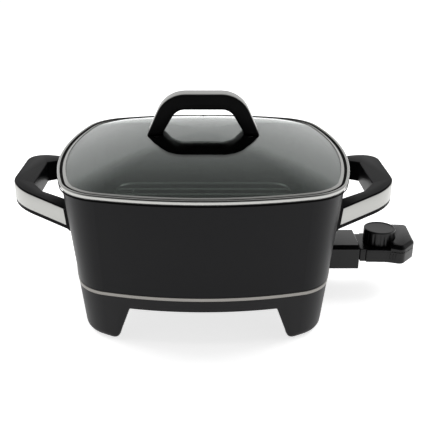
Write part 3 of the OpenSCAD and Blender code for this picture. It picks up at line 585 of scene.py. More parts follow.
class Wardrobe:
    """All materials of the skillet, by the record's slot names."""

    def __init__(self) -> None:
        """Builds every finish once."""
        grain = Grain()
        self.materials = {finish.slot: finish.material(grain) for finish in FINISHES}

    def dress_node(self, node: bpy.types.Object, slot: str) -> None:
        """Puts a slot's material on every material place of a solid from the frame.

        Args:
            node: The solid.
            slot: Material slot.
        """
        if not node.data.materials:
            node.data.materials.append(self.materials[slot])
        for place in node.material_slots:
            place.material = self.materials[slot]

    def place(self, piece: bpy.types.Object, body: str, node: str, slot: str) -> None:
        """Dresses a new piece, lets it ride on a body and stand for a solid.

        Args:
            piece: The finished object.
            body: Body that carries it.
            node: Solid that it stands for.
            slot: Material slot.
        """
        piece.data.materials.append(self.materials[slot])
        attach(piece, body)
        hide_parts(node)
        LOG.info("%s: %d faces on %s", piece.name, len(piece.data.polygons), body)


@dataclass(frozen=True)
class RimOutline:
    """The rounded square that pan, base and lid share: side and corner arcs in tangent pairs."""

    half: float = 160.0
    corner_r: float = 56.0
    seam_sin: float = 0.28
    side_r: float = 381.0

    def sample(self, side_steps: int = 24, corner_steps: int = 28) -> tuple[Array, Array]:
        """Walks round the outline.

        A quarter is a side arc about a centre on the X axis, then a corner arc about a centre on
        the diagonal. Each point is centre + radius * (cos a, sin a), and that direction is also the
        outward normal. The other quarters are turned copies.

        Args:
            side_steps: Points on each side arc.
            corner_steps: Points on each corner arc.

        Returns:
            The points and the outward normals, as (n, 2) arrays.
        """
        seam = math.asin(self.seam_sin)
        corner = (self.side_r - self.corner_r) * self.seam_sin
        angle = np.concatenate([
            np.linspace(-seam, seam, side_steps, endpoint=False),
            np.linspace(seam, np.pi / 2 - seam, corner_steps, endpoint=False),
        ])
        on_side = (np.arange(len(angle)) < side_steps)[:, None]
        centre = np.where(on_side, [self.half - self.side_r, 0.0], [corner, corner])
        radius = np.where(on_side, self.side_r, self.corner_r)
        normal = np.stack([np.cos(angle), np.sin(angle)], axis=1)
        quarter = np.arange(4) * np.pi / 2
        turn = np.stack([
            np.stack([np.cos(quarter), -np.sin(quarter)], axis=-1),
            np.stack([np.sin(quarter), np.cos(quarter)], axis=-1),
        ], axis=1)
        points = np.einsum("qij,nj->qni", turn, centre + radius * normal)
        normals = np.einsum("qij,nj->qni", turn, normal)
        return points.reshape(-1, 2), normals.reshape(-1, 2)

    def past_gap(self, gap: float, side_steps: int, corner_steps: int) -> tuple[Array, Array]:
        """Walks round the outline from one side of a gap on the +X side to the other.

        Args:
            gap: Half of the gap's width.
            side_steps: Points on each side arc.
            corner_steps: Points on each corner arc.

        Returns:
            The points and the outward normals, as (n, 2) arrays.
        """
        points, normals = self.sample(side_steps, corner_steps)
        clear = (points[:, 0] < 0) | (np.abs(points[:, 1]) > gap)
        order = np.roll(np.arange(len(points)), -np.flatnonzero(~clear)[-1] - 1)
        order = order[clear[order]]
        return points[order], normals[order]

    def sweep(self, profile: Array) -> Array:
        """Carries a profile of (offset, height) round the outline: one ring for each of its rows."""
        return carried(*self.sample(), *profile.T).swapaxes(0, 1)


@dataclass(frozen=True)
class Lid:
    """The lift-off lid: domed glass, steel rim, and the arched handle with its strip."""

    outline: RimOutline = RimOutline()
    rim_low: float = 164.5
    rim_top: float = 169.7
    rim_t: float = 0.8
    bead: float = 3.0
    bead_low_r: float = 2.2
    bead_out_r: float = 1.6
    bead_in_r: float = 1.3
    groove: float = 2.6
    groove_depth: float = 2.6
    groove_r: float = 0.3
    # Painted shade: a black cord sunk in the rim's groove darkens it as its shadow would.
    groove_shade_sunk: float = 0.5
    groove_shade_play: float = 0.2
    # Painted shadow: a thin black lip under the bead stands for the shadow line between rim and pan.
    under_rim_shade_drop: float = 1.5
    under_rim_shade_t: float = 0.5
    lap: float = 9.2
    lap_fall: float = 1.2
    lap_out_r: float = 0.4
    lap_in_r: float = 0.35
    fold_r: float = 0.1
    skirt: float = 8.5
    skirt_low: float = 159.5
    skirt_r: float = 0.2
    glass_t: float = 3.6
    glass_edge: float = 7.1
    glass_lift: float = 0.1
    dome_edge: float = 9.3
    dome_h: float = 25.5
    dome_rows: int = 40
    arch_top: float = 236.2
    arch_bar: float = 17.0
    arch_depth: float = 25.0
    arch_foot: float = 61.0
    arch_crown: float = 42.0
    arch_leg: float = 17.0
    arch_shoulder: float = 12.5
    arch_round: float = 34.0
    arch_gap_round: float = 16.0
    arch_edge: float = 2.2
    arch_steps: int = 10
    seal_t: float = 0.8
    strip_t: float = 1.0
    strip_edge: float = 2.6
    strip_end: float = 5.0
    strip_proud: float = 0.35
    strip_r: float = 0.3

    @property
    def glass_top(self) -> float:
        """Height of the glass where it meets the rim."""
        return self.rim_top - self.rim_t

    def dome(self, x: float) -> float:
        """Height of the dome over the X axis: crown height less a parabola in x."""
        reach = self.outline.half - self.dome_edge
        return self.glass_top + self.dome_h * (1 - (x / reach) ** 2)

    def glass(self) -> bpy.types.Object:
        """The glass: the rim outline shrunk to the centre while it rises as a parabola.

        The upper face is (s * Q, top + dome_h * (1 - s * s)) for s from 1 to 0, where Q is the
        outline at the dome's edge. The lower face is the same, one thickness down.

        Returns:
            The closed glass sheet.
        """
        top, low = self.glass_top, self.glass_top - self.glass_t
        edge = self.outline.sweep(np.array([[-self.dome_edge, 0]]))
        shrink = np.cos(np.linspace(0, np.pi / 2, self.dome_rows))[:, None, None]
        shrink[-1] = 0.0
        upper = edge * shrink + [0, 0, 1] * (top + self.dome_h * (1 - shrink**2))
        lower = upper[::-1] - [0, 0, self.glass_t]
        border = self.outline.sweep(np.array([
            [-self.glass_edge, low], [-self.glass_edge, top - self.lap_fall + self.glass_lift],
        ]))
        rows = np.concatenate([upper, lower, border])
        return Skin("domed_glass").grid(rows, wrap_rows=True).build(sharp=60)

    def rim(self) -> bpy.types.Object:
        """The rim: bead, groove, lap over the glass and skirt, in one profile carried round.

        The profile's rows are (offset, height, corner radius).

        Returns:
            The closed rim.
        """
        top, low, t, r = self.rim_top, self.rim_low, self.rim_t, self.groove_r
        floor, ledge = top - self.groove_depth, low + t
        out, skirt = -self.bead, -self.skirt
        inner = out - self.groove
        profile = np.array([
            [0, low, self.bead_low_r], [0, top, self.bead_out_r], [out, top, self.bead_in_r],
            [out - r, floor, r], [inner + r, floor, r],
            [inner, top - self.lap_fall, self.lap_out_r], [-self.lap, top, self.lap_in_r],
            [-self.lap, self.glass_top, self.fold_r],
            [inner - t, self.glass_top - self.lap_fall, self.fold_r],
            [inner - t, ledge, self.fold_r], [skirt - t, ledge, self.fold_r],
            [skirt - t, self.skirt_low, self.skirt_r], [skirt, self.skirt_low, self.skirt_r],
            [skirt, low, self.skirt_r],
        ])
        rings = self.outline.sweep(rounded(profile[:, :2], profile[:, 2], steps=5))
        return Skin("rolled_rim").grid(rings, wrap_rows=True).build()

    def painted_rim_shade(self) -> bpy.types.Object:
        """The rim's painted shade: two black sections carried round, a cord that darkens the groove
        and a lip below that paints the shadow line over the pan.

        Returns:
            Both closed strips of painted shade.
        """
        play, out = self.groove_shade_play, -self.bead
        # Painted shade: the black cord that fills the groove.
        groove_shade = box_corners(
            (out - play, self.rim_top - self.groove_depth - play),
            (out - self.groove + play, self.rim_top - self.groove_shade_sunk),
        )
        # Painted shadow: the black lip under the bead, where the rim throws its shadow on the pan.
        under_rim_shade = box_corners((0, self.rim_low - self.under_rim_shade_drop), (-self.under_rim_shade_t, self.rim_low))
        skin = Skin("painted_rim_shade")
        for corners, radius, steps in ((groove_shade, play, 3), (under_rim_shade, self.fold_r, 2)):
            section = rounded(corners, np.full(len(corners), radius), steps)
            skin.grid(self.outline.sweep(section), wrap_rows=True)
        return skin.build()

    def leg(self, foot: float, top: float, top_z: float, depth: float) -> tuple[float, float]:
        """Half widths of a leg's line at the rim's top and at its upper corner.

        Args:
            foot: Half width at the crown's level, before the line is moved.
            top: Half width at the upper corner, before the line is moved.
            top_z: Height of the upper corner.
            depth: Distance that the line is moved in.

        Returns:
            Both half widths of the moved line.
        """
        slope = (foot - top) / (top_z - self.glass_top - self.dome_h)
        shift = depth * math.hypot(1, slope)
        reach = top + slope * (top_z - self.rim_top)
        return reach - shift, top - shift + slope * depth

    def bridge(self, foot: float, top: float, top_z: float, radius: float, lift: float) -> Array:
        """A line up one leg, over the rounded shoulders and down the other leg.

        Each end lies where its leg meets the dome raised by the lift, which is found by repeated
        substitution.

        Args:
            foot: Half width at the rim's top.
            top: Half width at the upper corners.
            top_z: Height of the upper corners.
            radius: Radius of the shoulders.
            lift: Height above the dome at which the legs end.

        Returns:
            Points of (x, z) from the right foot to the left foot.
        """
        frame = np.array([[-foot, self.rim_top], [foot, self.rim_top], [top, top_z], [-top, top_z]])
        line = rounded(frame, [0, 0, radius, radius], self.arch_steps)[2:]
        slope = (foot - top) / (top_z - self.rim_top)
        x = foot
        for _ in range(ROUNDS):
            x = foot - slope * (self.dome(x) + lift - self.rim_top)
        end = np.array([[x, self.dome(x) + lift]])
        return np.vstack([end, line, end * [-1, 1]])

    def arch_line(self, depth: float, lift: float) -> Array:
        """Outer line of the arch, moved in by a depth, with feet at a lift above the dome."""
        foot, top = self.leg(self.arch_foot, self.arch_crown, self.arch_top, depth)
        return self.bridge(foot, top, self.arch_top - depth, self.arch_round - depth, lift)

    def gap_line(self, lift: float) -> Array:
        """Line of the arch's opening.

        Args:
            lift: Height above the dome at which the legs end.

        Returns:
            Points of (x, z) from the left foot over to the right foot.
        """
        top_z = self.arch_top - self.arch_bar
        foot, top = self.leg(
            self.arch_foot - self.arch_leg, self.arch_crown - self.arch_shoulder, top_z, 0.0
        )
        return self.bridge(foot, top, top_z, self.arch_gap_round, lift)[::-1]

    def handle(self) -> bpy.types.Object:
        """The arch: its outline of (x, z) carried along Y, with a rounded edge at both faces.

        Returns:
            The closed arch.
        """
        lift, half = self.seal_t / 2, self.arch_depth / 2
        outline = np.vstack([self.arch_line(self.strip_proud, lift), self.gap_line(lift)])
        levels = slab_levels(-half, half, self.arch_edge, self.arch_edge)
        rings = np.stack([inset(outline, depth) for depth in levels[:, 0]])
        across = np.broadcast_to(levels[:, 1, None], rings.shape[:2])
        rows = np.stack([rings[..., 0], across, rings[..., 1]], axis=-1)
        return Skin("lid_arch").tube(rows).build()

    def strip(self) -> bpy.types.Object:
        """The strip: a thin band with rounded edges carried along the arch's outer line.

        Returns:
            The closed strip.
        """
        outer = self.arch_line(0.0, self.strip_end)
        tangent = unit(np.gradient(outer, axis=0))
        half = self.arch_depth / 2 - self.strip_edge
        radii = [self.fold_r, self.strip_r, self.strip_r, self.fold_r]
        band = rounded(box_corners((-self.strip_t, -half), (0, half)), radii, steps=4)
        rows = carried(outer, tangent[:, ::-1] * [1, -1], *band.T)[..., [0, 2, 1]]
        return Skin("arch_strip").tube(rows).build()

    def build(self, wardrobe: Wardrobe) -> None:
        """Makes and dresses the lid's pieces.

        Args:
            wardrobe: The materials.
        """
        for piece, node, slot in (
            (self.glass(), "lid_glass", "lid_glass"),
            (self.rim(), "lid_rim", "rim_steel"),
            # The rim's painted shade strips, in the seal material.
            (self.painted_rim_shade(), "lid_rim", "seal_rubber"),
            (self.handle(), "lid_handle", "black_plastic"),
            (self.strip(), "lid_handle_strip", "band_steel"),
        ):
            wardrobe.place(piece, "lid", node, slot)


@dataclass(frozen=True)
class PanWall:
    """The pan's sloping wall, as far as other pieces follow it."""

    outline: RimOutline = RimOutline()
    rim_z: float = 164.5
    low_z: float = 59.0
    inset: float = 3.0
    taper: float = 11.5

    def offset(self, z: float) -> float:
        """Offset of the wall's outside from the rim outline, at a height."""
        return -self.inset - self.taper * (self.rim_z - z) / (self.rim_z - self.low_z)

    def meet(self, start: Array, slope: float, offset: float) -> Array:
        """Point where a line that closes in along X meets a side of the outline.

        It is found by repeated substitution in y = y0 - slope * (x - x0) and the side's circle.

        Args:
            start: A point (x0, y0) on the line.
            slope: How fast the line closes in.
            offset: Offset of the side from the rim outline.

        Returns:
            The point as (x, y).
        """
        radius = self.outline.side_r + offset
        x, y = start
        for _ in range(ROUNDS):
            y = start[1] - slope * (x - start[0])
            x = self.outline.half - self.outline.side_r + math.sqrt(radius**2 - y**2)
        return np.array([x, y])


@dataclass(frozen=True)
class SideHandle:
    """A looped side handle with a steel band let into its outer face."""

    side: Side
    wall: PanWall = PanWall()
    root_x: float = 152.42
    grip_x: float = 208.5
    root_half: float = 81.0
    grip_half: float = 57.0
    gap_root_half: float = 58.0
    gap_mid_half: float = 52.5
    gap_half: float = 36.0
    gap_cut: float = 12.0
    bar: float = 22.0
    top: float = 134.5
    low: float = 110.5
    rise: float = 14.5
    grip_round: float = 41.0
    gap_round: float = 4.0
    sunk: float = 2.8
    collar: float = 1.4
    collar_sunk: float = 0.5
    collar_proud: float = 0.4
    top_edge: float = 1.3
    low_edge: float = 1.2
    band_t: float = 1.0
    band_top: float = 1.6
    band_low: float = 4.6
    band_end: float = 3.0
    band_proud: float = 0.25
    band_low_r: float = 0.35
    band_top_r: float = 0.45
    band_in_r: float = 0.1

    @property
    def name(self) -> str:
        """The side's name, as pieces and solids are called by it."""
        return self.side.name.lower()

    @property
    def outer_slope(self) -> float:
        """How fast the outer line closes in towards the grip."""
        return (self.root_half - self.grip_half) / (self.grip_x - self.root_x)

    @property
    def gap_slope(self) -> float:
        """How fast the opening's line closes in towards its cut corners."""
        run = self.grip_x - self.bar - self.gap_cut - self.root_x
        return (self.gap_root_half - self.gap_mid_half) / run

    def lifted(self, points: Array) -> Array:
        """Tilts points so that the handle rises evenly from its root, and turns them to its side."""
        tilt = self.rise * (points[..., :1] - self.root_x) / (self.grip_x - self.root_x)
        return (points + tilt * [0, 0, 1]) * [self.side.value, 1, 1]

    def at_wall(self, half: float, slope: float, z: float, past_wall: float) -> Array:
        """Point at a distance from the pan's wall on a line from the root's half width."""
        start = np.array([self.root_x, half])
        return self.wall.meet(start, slope, self.wall.offset(z) + past_wall)

    def outer_point(self, z: float, past_wall: float, proud: float = 0.0) -> Array:
        """Point of the outer line at a distance from the pan's wall, moved out by proud."""
        place = self.at_wall(self.root_half, self.outer_slope, z, past_wall)
        return place + proud * unit(np.array([self.outer_slope, 1.0]))

    def gap_point(self, z: float, past_wall: float) -> Array:
        """Point of the opening's line at a distance from the pan's wall."""
        return self.at_wall(self.gap_root_half, self.gap_slope, z, past_wall)

    def plan(self, z: float) -> Plan:
        """Outline of the loop: outer line and opening, both run on into the pan's wall.

        Args:
            z: Height before the tilt.

        Returns:
            The outline.
        """
        gap_x = self.grip_x - self.bar
        half = np.array([
            self.outer_point(z, -self.sunk, -self.band_proud),
            [self.grip_x - self.band_proud, self.grip_half],
        ])
        gap = np.array([
            self.gap_point(z, -self.sunk),
            [gap_x - self.gap_cut, self.gap_mid_half],
            [gap_x, self.gap_half],
        ])
        outer, inner = [0, self.grip_round], [0, self.gap_round, self.gap_round]
        corners = np.vstack([half * [1, -1], half[::-1], gap, gap[::-1] * [1, -1]])
        return Plan(corners, outer + outer[::-1] + inner + inner[::-1], steps=10)

    def collar_plan(self, z: float) -> Plan:
        """Outline of one collar: a thin block along the wall, proud of the loop.

        Args:
            z: Height before the tilt.

        Returns:
            The outline.
        """
        near, far, proud = -self.collar_sunk, self.collar, self.collar_proud
        corners = np.array([
            self.gap_point(z, near) - [0, proud], self.gap_point(z, far) - [0, proud],
            self.outer_point(z, far, proud), self.outer_point(z, near, proud),
        ])
        return Plan(corners, np.zeros(len(corners)))

    def loop(self) -> bpy.types.Object:
        """The loop: its outline carried up from the underside, with a rounded edge at both faces.

        Both collars are carried up in the same way, past both faces by as much as they are proud.

        Returns:
            The loop with its collars.
        """
        levels = slab_levels(self.low, self.top, self.low_edge, self.top_edge)
        rows = np.concatenate([self.plan(level[1]).stack(level[None]) for level in levels])
        skin = Skin(f"{self.name}_loop").tube(self.lifted(rows))
        proud = self.collar_proud
        levels = slab_levels(self.low - proud, self.top + proud, proud, proud)
        rows = np.concatenate([self.collar_plan(level[1]).stack(level[None]) for level in levels])
        for mirror in (1, -1):
            skin.tube(self.lifted(rows * [1, mirror, 1]))
        return skin.build()

    def band_line(self, z: float, depth: float) -> Array:
        """The band's line at a height.

        Args:
            z: Height before the tilt.
            depth: Distance inwards.

        Returns:
            Points from end to end, as (n, 3).
        """
        half = np.array([self.outer_point(z, self.band_end), [self.grip_x, self.grip_half]])
        corners = np.vstack([half * [1, -1], half[::-1]])
        line = rounded(corners, [0, self.grip_round, self.grip_round, 0], steps=16)
        tangent = unit(np.gradient(line, axis=0))
        inward = tangent[:, ::-1] * [-1, 1]
        return np.column_stack([line + depth * inward, np.full(len(line), z)])

    def band(self) -> bpy.types.Object:
        """The band: a thin rounded section carried along the loop's outer line, cut along the wall.

        Returns:
            The closed band.
        """
        section = rounded(
            box_corners((0, self.low + self.band_low), (self.band_t, self.top - self.band_top)),
            [self.band_low_r, self.band_in_r, self.band_in_r, self.band_top_r], steps=4,
        )
        lines = np.stack([self.band_line(z, depth) for depth, z in section], axis=1)
        return Skin(f"{self.name}_band").tube(self.lifted(lines)).build()

    def build(self, wardrobe: Wardrobe) -> None:
        """Makes and dresses the loop and its band."""
        wardrobe.place(self.loop(), "pan_body", f"{self.name}_handle", "black_plastic")
        wardrobe.place(self.band(), "pan_body", f"{self.name}_handle_band", "band_steel")


@dataclass(frozen=True)
class Base:
    """The base with its four legs, and the pale ring between it and the pan."""

    wall: PanWall = PanWall()
    top: float = 55.0
    taper: float = 6.0
    wall_t: float = 4.5
    leg_h: float = 41.5
    leg_gap_half: float = 76.0
    leg_spread: float = 15.8
    foot_round: float = 10.0
    skirt_round: float = 2.0
    bend_steps: int = 10
    edge: float = 1.0
    sole_round: float = 9.0
    sole_w: float = 16.0
    sole_run: float = 24.0
    sole_lead: float = 5.0
    sole_t: float = 4.0
    sole_steps: int = 8
    guard_half: float = 25.3
    ring_proud: float = 0.5
    ring_w: float = 4.0
    ring_low_r: float = 0.5
    ring_top_r: float = 0.6
    ring_in_r: float = 0.2
    tab_low: float = 48.0
    tab_top: float = 51.0
    tab_half: float = 6.0
    tab_r: float = 5.9
    tab_edge: float = 0.4
    tab_start: float = 129.8
    tab_end: float = 162.0

    @property
    def foot(self) -> float:
        """Distance of a foot's inner edge from the nearer axis."""
        return self.leg_gap_half + self.leg_spread

    def lower_edge(self, reach: Array) -> Array:
        """Height of the lower edge at distances from the nearer axis.

        It is the skirt's height in the middle of a side, a straight slope down the leg, then 0
        under the foot, with both bends rounded.

        Args:
            reach: The distances.

        Returns:
            One height for each distance.
        """
        far, gap = self.wall.outline.half, self.leg_gap_half
        bends = np.array([
            [0, self.leg_h], [gap, self.leg_h], [self.foot, 0], [far, 0], [far, far], [0, far],
        ])
        steps = self.bend_steps
        line = rounded(bends, [0, self.skirt_round, self.foot_round, 0, 0, 0], steps)
        return np.interp(reach, *line[:2 * steps + 2].T)

    def frame(self) -> bpy.types.Object:
        """The base: a wall section carried round from one side of the socket to the other.

        At a point P with normal N the section runs between the lower edge's height and the top, at
        P + (offset(z) - depth) * N, where the offset leans in with depth below the top. The share of
        a foot's corner is a quarter sine wave that starts just before the foot: with it the outer
        lower edge's radius grows to that of the sole, and the section's lower end to its width.

        Returns:
            The closed base with its four screw tabs.
        """
        plan, normal = self.wall.outline.past_gap(self.guard_half, side_steps=240, corner_steps=80)
        e, t, ones = self.edge, self.wall_t, np.ones((len(plan), 1))
        head = self.wall.offset(self.wall.low_z)
        reach = np.abs(plan + (head - self.taper / 2) * normal).min(axis=1)[:, None]
        low = self.lower_edge(reach)
        past = reach - self.foot + self.sole_lead
        foot = np.sin(np.clip(past / self.sole_run, 0, 1) * np.pi / 2)
        bend, outer = quarter_round(e)[::-1], e + (self.sole_round - e) * foot
        inner, sole = t + (self.sole_w - t) * foot, e + (self.sole_t - e) * foot
        curve = quarter_round(1.0, self.sole_steps)
        depth = np.hstack([
            outer * curve[:, 0], ones * [0, e / 2, t - e, t, t], inner, inner - bend[:, 0],
        ])
        z = np.hstack([
            low + outer * curve[:, 1], self.top + ones * [-e / 2, 0, 0, -e], low + outer + e,
            low + sole, low + bend[:, 1],
        ])
        lean = head - self.taper * (self.top - z) / self.top - depth
        skin = Skin("legged_base").tube(carried(plan, normal, lean, z))
        tab = Plan(
            box_corners((self.tab_start, -self.tab_half), (self.tab_end, self.tab_half)),
            [self.tab_r, 0, 0, self.tab_r],
        ).stack(slab_levels(self.tab_low, self.tab_top, self.tab_edge, self.tab_edge))
        for quarter in range(4):
            turn = math.pi / 4 + quarter * math.pi / 2
            c, s = math.cos(turn), math.sin(turn)
            skin.tube(tab @ np.array([[c, s, 0], [-s, c, 0], [0, 0, 1]]))
        return skin.build(sharp=45)

    def ring(self) -> bpy.types.Object:
        """The pale ring: a rounded section carried round from one side of the socket to the other.

        Returns:
            The closed ring.
        """
        line = self.wall.outline.past_gap(self.guard_half, side_steps=48, corner_steps=40)
        outer = self.wall.offset(self.wall.low_z) + self.ring_proud
        section = rounded(
            box_corners((outer - self.ring_w, self.top), (outer, self.wall.low_z)),
            [self.ring_in_r, self.ring_low_r, self.ring_top_r, self.ring_in_r], steps=6,
        )
        return Skin("trim_ring").tube(carried(*line, *section.T)).build()

    def build(self, wardrobe: Wardrobe) -> None:
        """Makes and dresses the base and its ring."""
        wardrobe.place(self.frame(), "pan_body", "base_frame", "base_plastic")
        wardrobe.place(self.ring(), "pan_body", "base_trim_ring", "trim_steel")


@dataclass(frozen=True)
class SocketGuard:
    """The open box round the pins, which the control plugs into."""

    back: float = 143.0
    mouth: float = 182.0
    floor_x: float = 149.0
    floor_t: float = 3.0
    floor_sunk: float = 0.5
    half: float = 25.0
    low: float = 32.0
    top: float = 61.0
    bevel: float = 4.0
    bevel_r: float = 1.0
    corner_r: float = 1.6
    wall: float = 3.0
    edge: float = 1.4
    inner_edge: float = 0.5
    holes: Holes = Holes(pin_r=2.6, probe_r=4.4)
    tongue_x: float = 116.9
    tongue_sunk: float = 1.0
    tongue_half: float = 8.0
    tongue_low: float = 39.0
    tongue_t: float = 2.5
    tongue_r: float = 3.0
    tongue_edge: float = 0.4

    def section(self) -> Plan:
        """The box's section of (y, z): flat sides and a bevelled upper front edge.

        Returns:
            The outline.
        """
        *square, front = box_corners((-self.half, self.low), (self.half, self.top))
        return Plan(
            np.vstack([square, front + [self.bevel, 0], front - [0, self.bevel]]),
            [self.corner_r] * len(square) + [self.bevel_r, self.bevel_r],
        )

    def surface(self) -> bpy.types.Object:
        """The box: its section carried along X, turned over at the mouth and carried back inside.

        Returns:
            The closed box, with its pierced floor and the tongue that screws to the pan.
        """
        bend, t, e = quarter_round(self.edge)[::-1], self.wall, self.inner_edge
        levels = np.vstack([
            [0, self.back], bend * [1, -1] + [0, self.mouth],
            [t - e, self.mouth], [t, self.mouth - e], [t, self.back],
        ])
        rows = self.section().stack(levels)[..., [2, 0, 1]]
        skin = Skin("socket_box").grid(rows, wrap_rows=True)
        inset_by = t - self.floor_sunk
        skin.pierced_row(
            np.array([
                [self.floor_x + self.floor_t, inset_by - self.half, self.low + inset_by],
                [self.floor_x, self.half - inset_by, self.top - inset_by],
            ]),
            self.holes,
        )
        tongue = Plan(
            box_corners(
                (self.tongue_x, -self.tongue_half), (self.floor_x + self.tongue_sunk, self.tongue_half)
            ),
            [self.tongue_r, 0, 0, self.tongue_r],
        )
        top = self.tongue_low + self.tongue_t
        levels = slab_levels(self.tongue_low, top, self.tongue_edge, self.tongue_edge)
        return skin.tube(tongue.stack(levels)).build()

    def build(self, wardrobe: Wardrobe) -> None:
        """Makes and dresses the box."""
        wardrobe.place(self.surface(), "pan_body", "socket_guard", "gloss_black")


@dataclass(frozen=True)
class Knob:
    """The scalloped dial on the control."""

    x: float = 208.5
    low: float = 56.9
    height: float = 17.5
    radius: float = 18.5
    scallops: int = 18
    scallop_r: float = 3.2
    scallop_depth: float = 0.55
    plain_top: float = 2.0
    fade: float = 2.5
    foot_edge: float = 0.6
    edge: float = 1.1
    edge_share: float = 0.3
    rim: float = 1.0
    dish: float = 0.6
    dish_share: float = 0.6
    dish_ring: float = 0.72
    dish_middle: float = 0.78
    steps: int = 432

    def surface(self) -> bpy.types.Object:
        """The dial: a profile turned round Z, with round scallops that fade out below the top edge.

        The profile's rows are (radius, height, share of the scallops). At an angle a from a
        scallop's middle, its circle is met at d * cos(a) - sqrt(g * g - (d * sin(a)) ** 2), where g
        is its radius and d its centre's distance; the wall is the smaller of that and the dial's
        radius.

        Returns:
            The closed dial.
        """
        r, h, e, foot = self.radius, self.height, self.edge, self.foot_edge
        face, plain, ease = r - e - self.rim, h - self.plain_top, self.edge_share * e
        profile = np.array([
            [0, 0, 0], [r - foot, 0, 1], [r, foot, 1], [r, self.fade, 1], [r, plain - self.fade, 1],
            [r, plain, 0], [r, h - e, 0], [r - ease, h - ease, 0], [r - e, h, 0], [face, h, 0],
            [face - self.dish, h - self.dish, 0], [face * self.dish_share, h - self.dish_ring, 0],
            [0, h - self.dish_middle, 0],
        ])
        angle = np.linspace(0, 2 * np.pi, self.steps, endpoint=False)
        pitch = 2 * np.pi / self.scallops
        local = (angle + pitch / 2) % pitch - pitch / 2
        d, g = r + self.scallop_r - self.scallop_depth, self.scallop_r
        under = g**2 - (d * np.sin(local)) ** 2
        met = np.where(under > 0, d * np.cos(local) - np.sqrt(np.maximum(under, 0)), r)
        radius = profile[:, :1] - profile[:, 2:] * np.maximum(r - met, 0)
        height = np.broadcast_to(self.low + profile[:, 1:2], radius.shape)
        rows = np.stack([self.x + radius * np.cos(angle), radius * np.sin(angle), height], axis=-1)
        return Skin("scalloped_dial").grid(rows).build(sharp=32)

    def build(self, wardrobe: Wardrobe) -> None:
        """Makes and dresses the dial."""
        wardrobe.place(self.surface(), "dial", "knob", "knob_plastic")


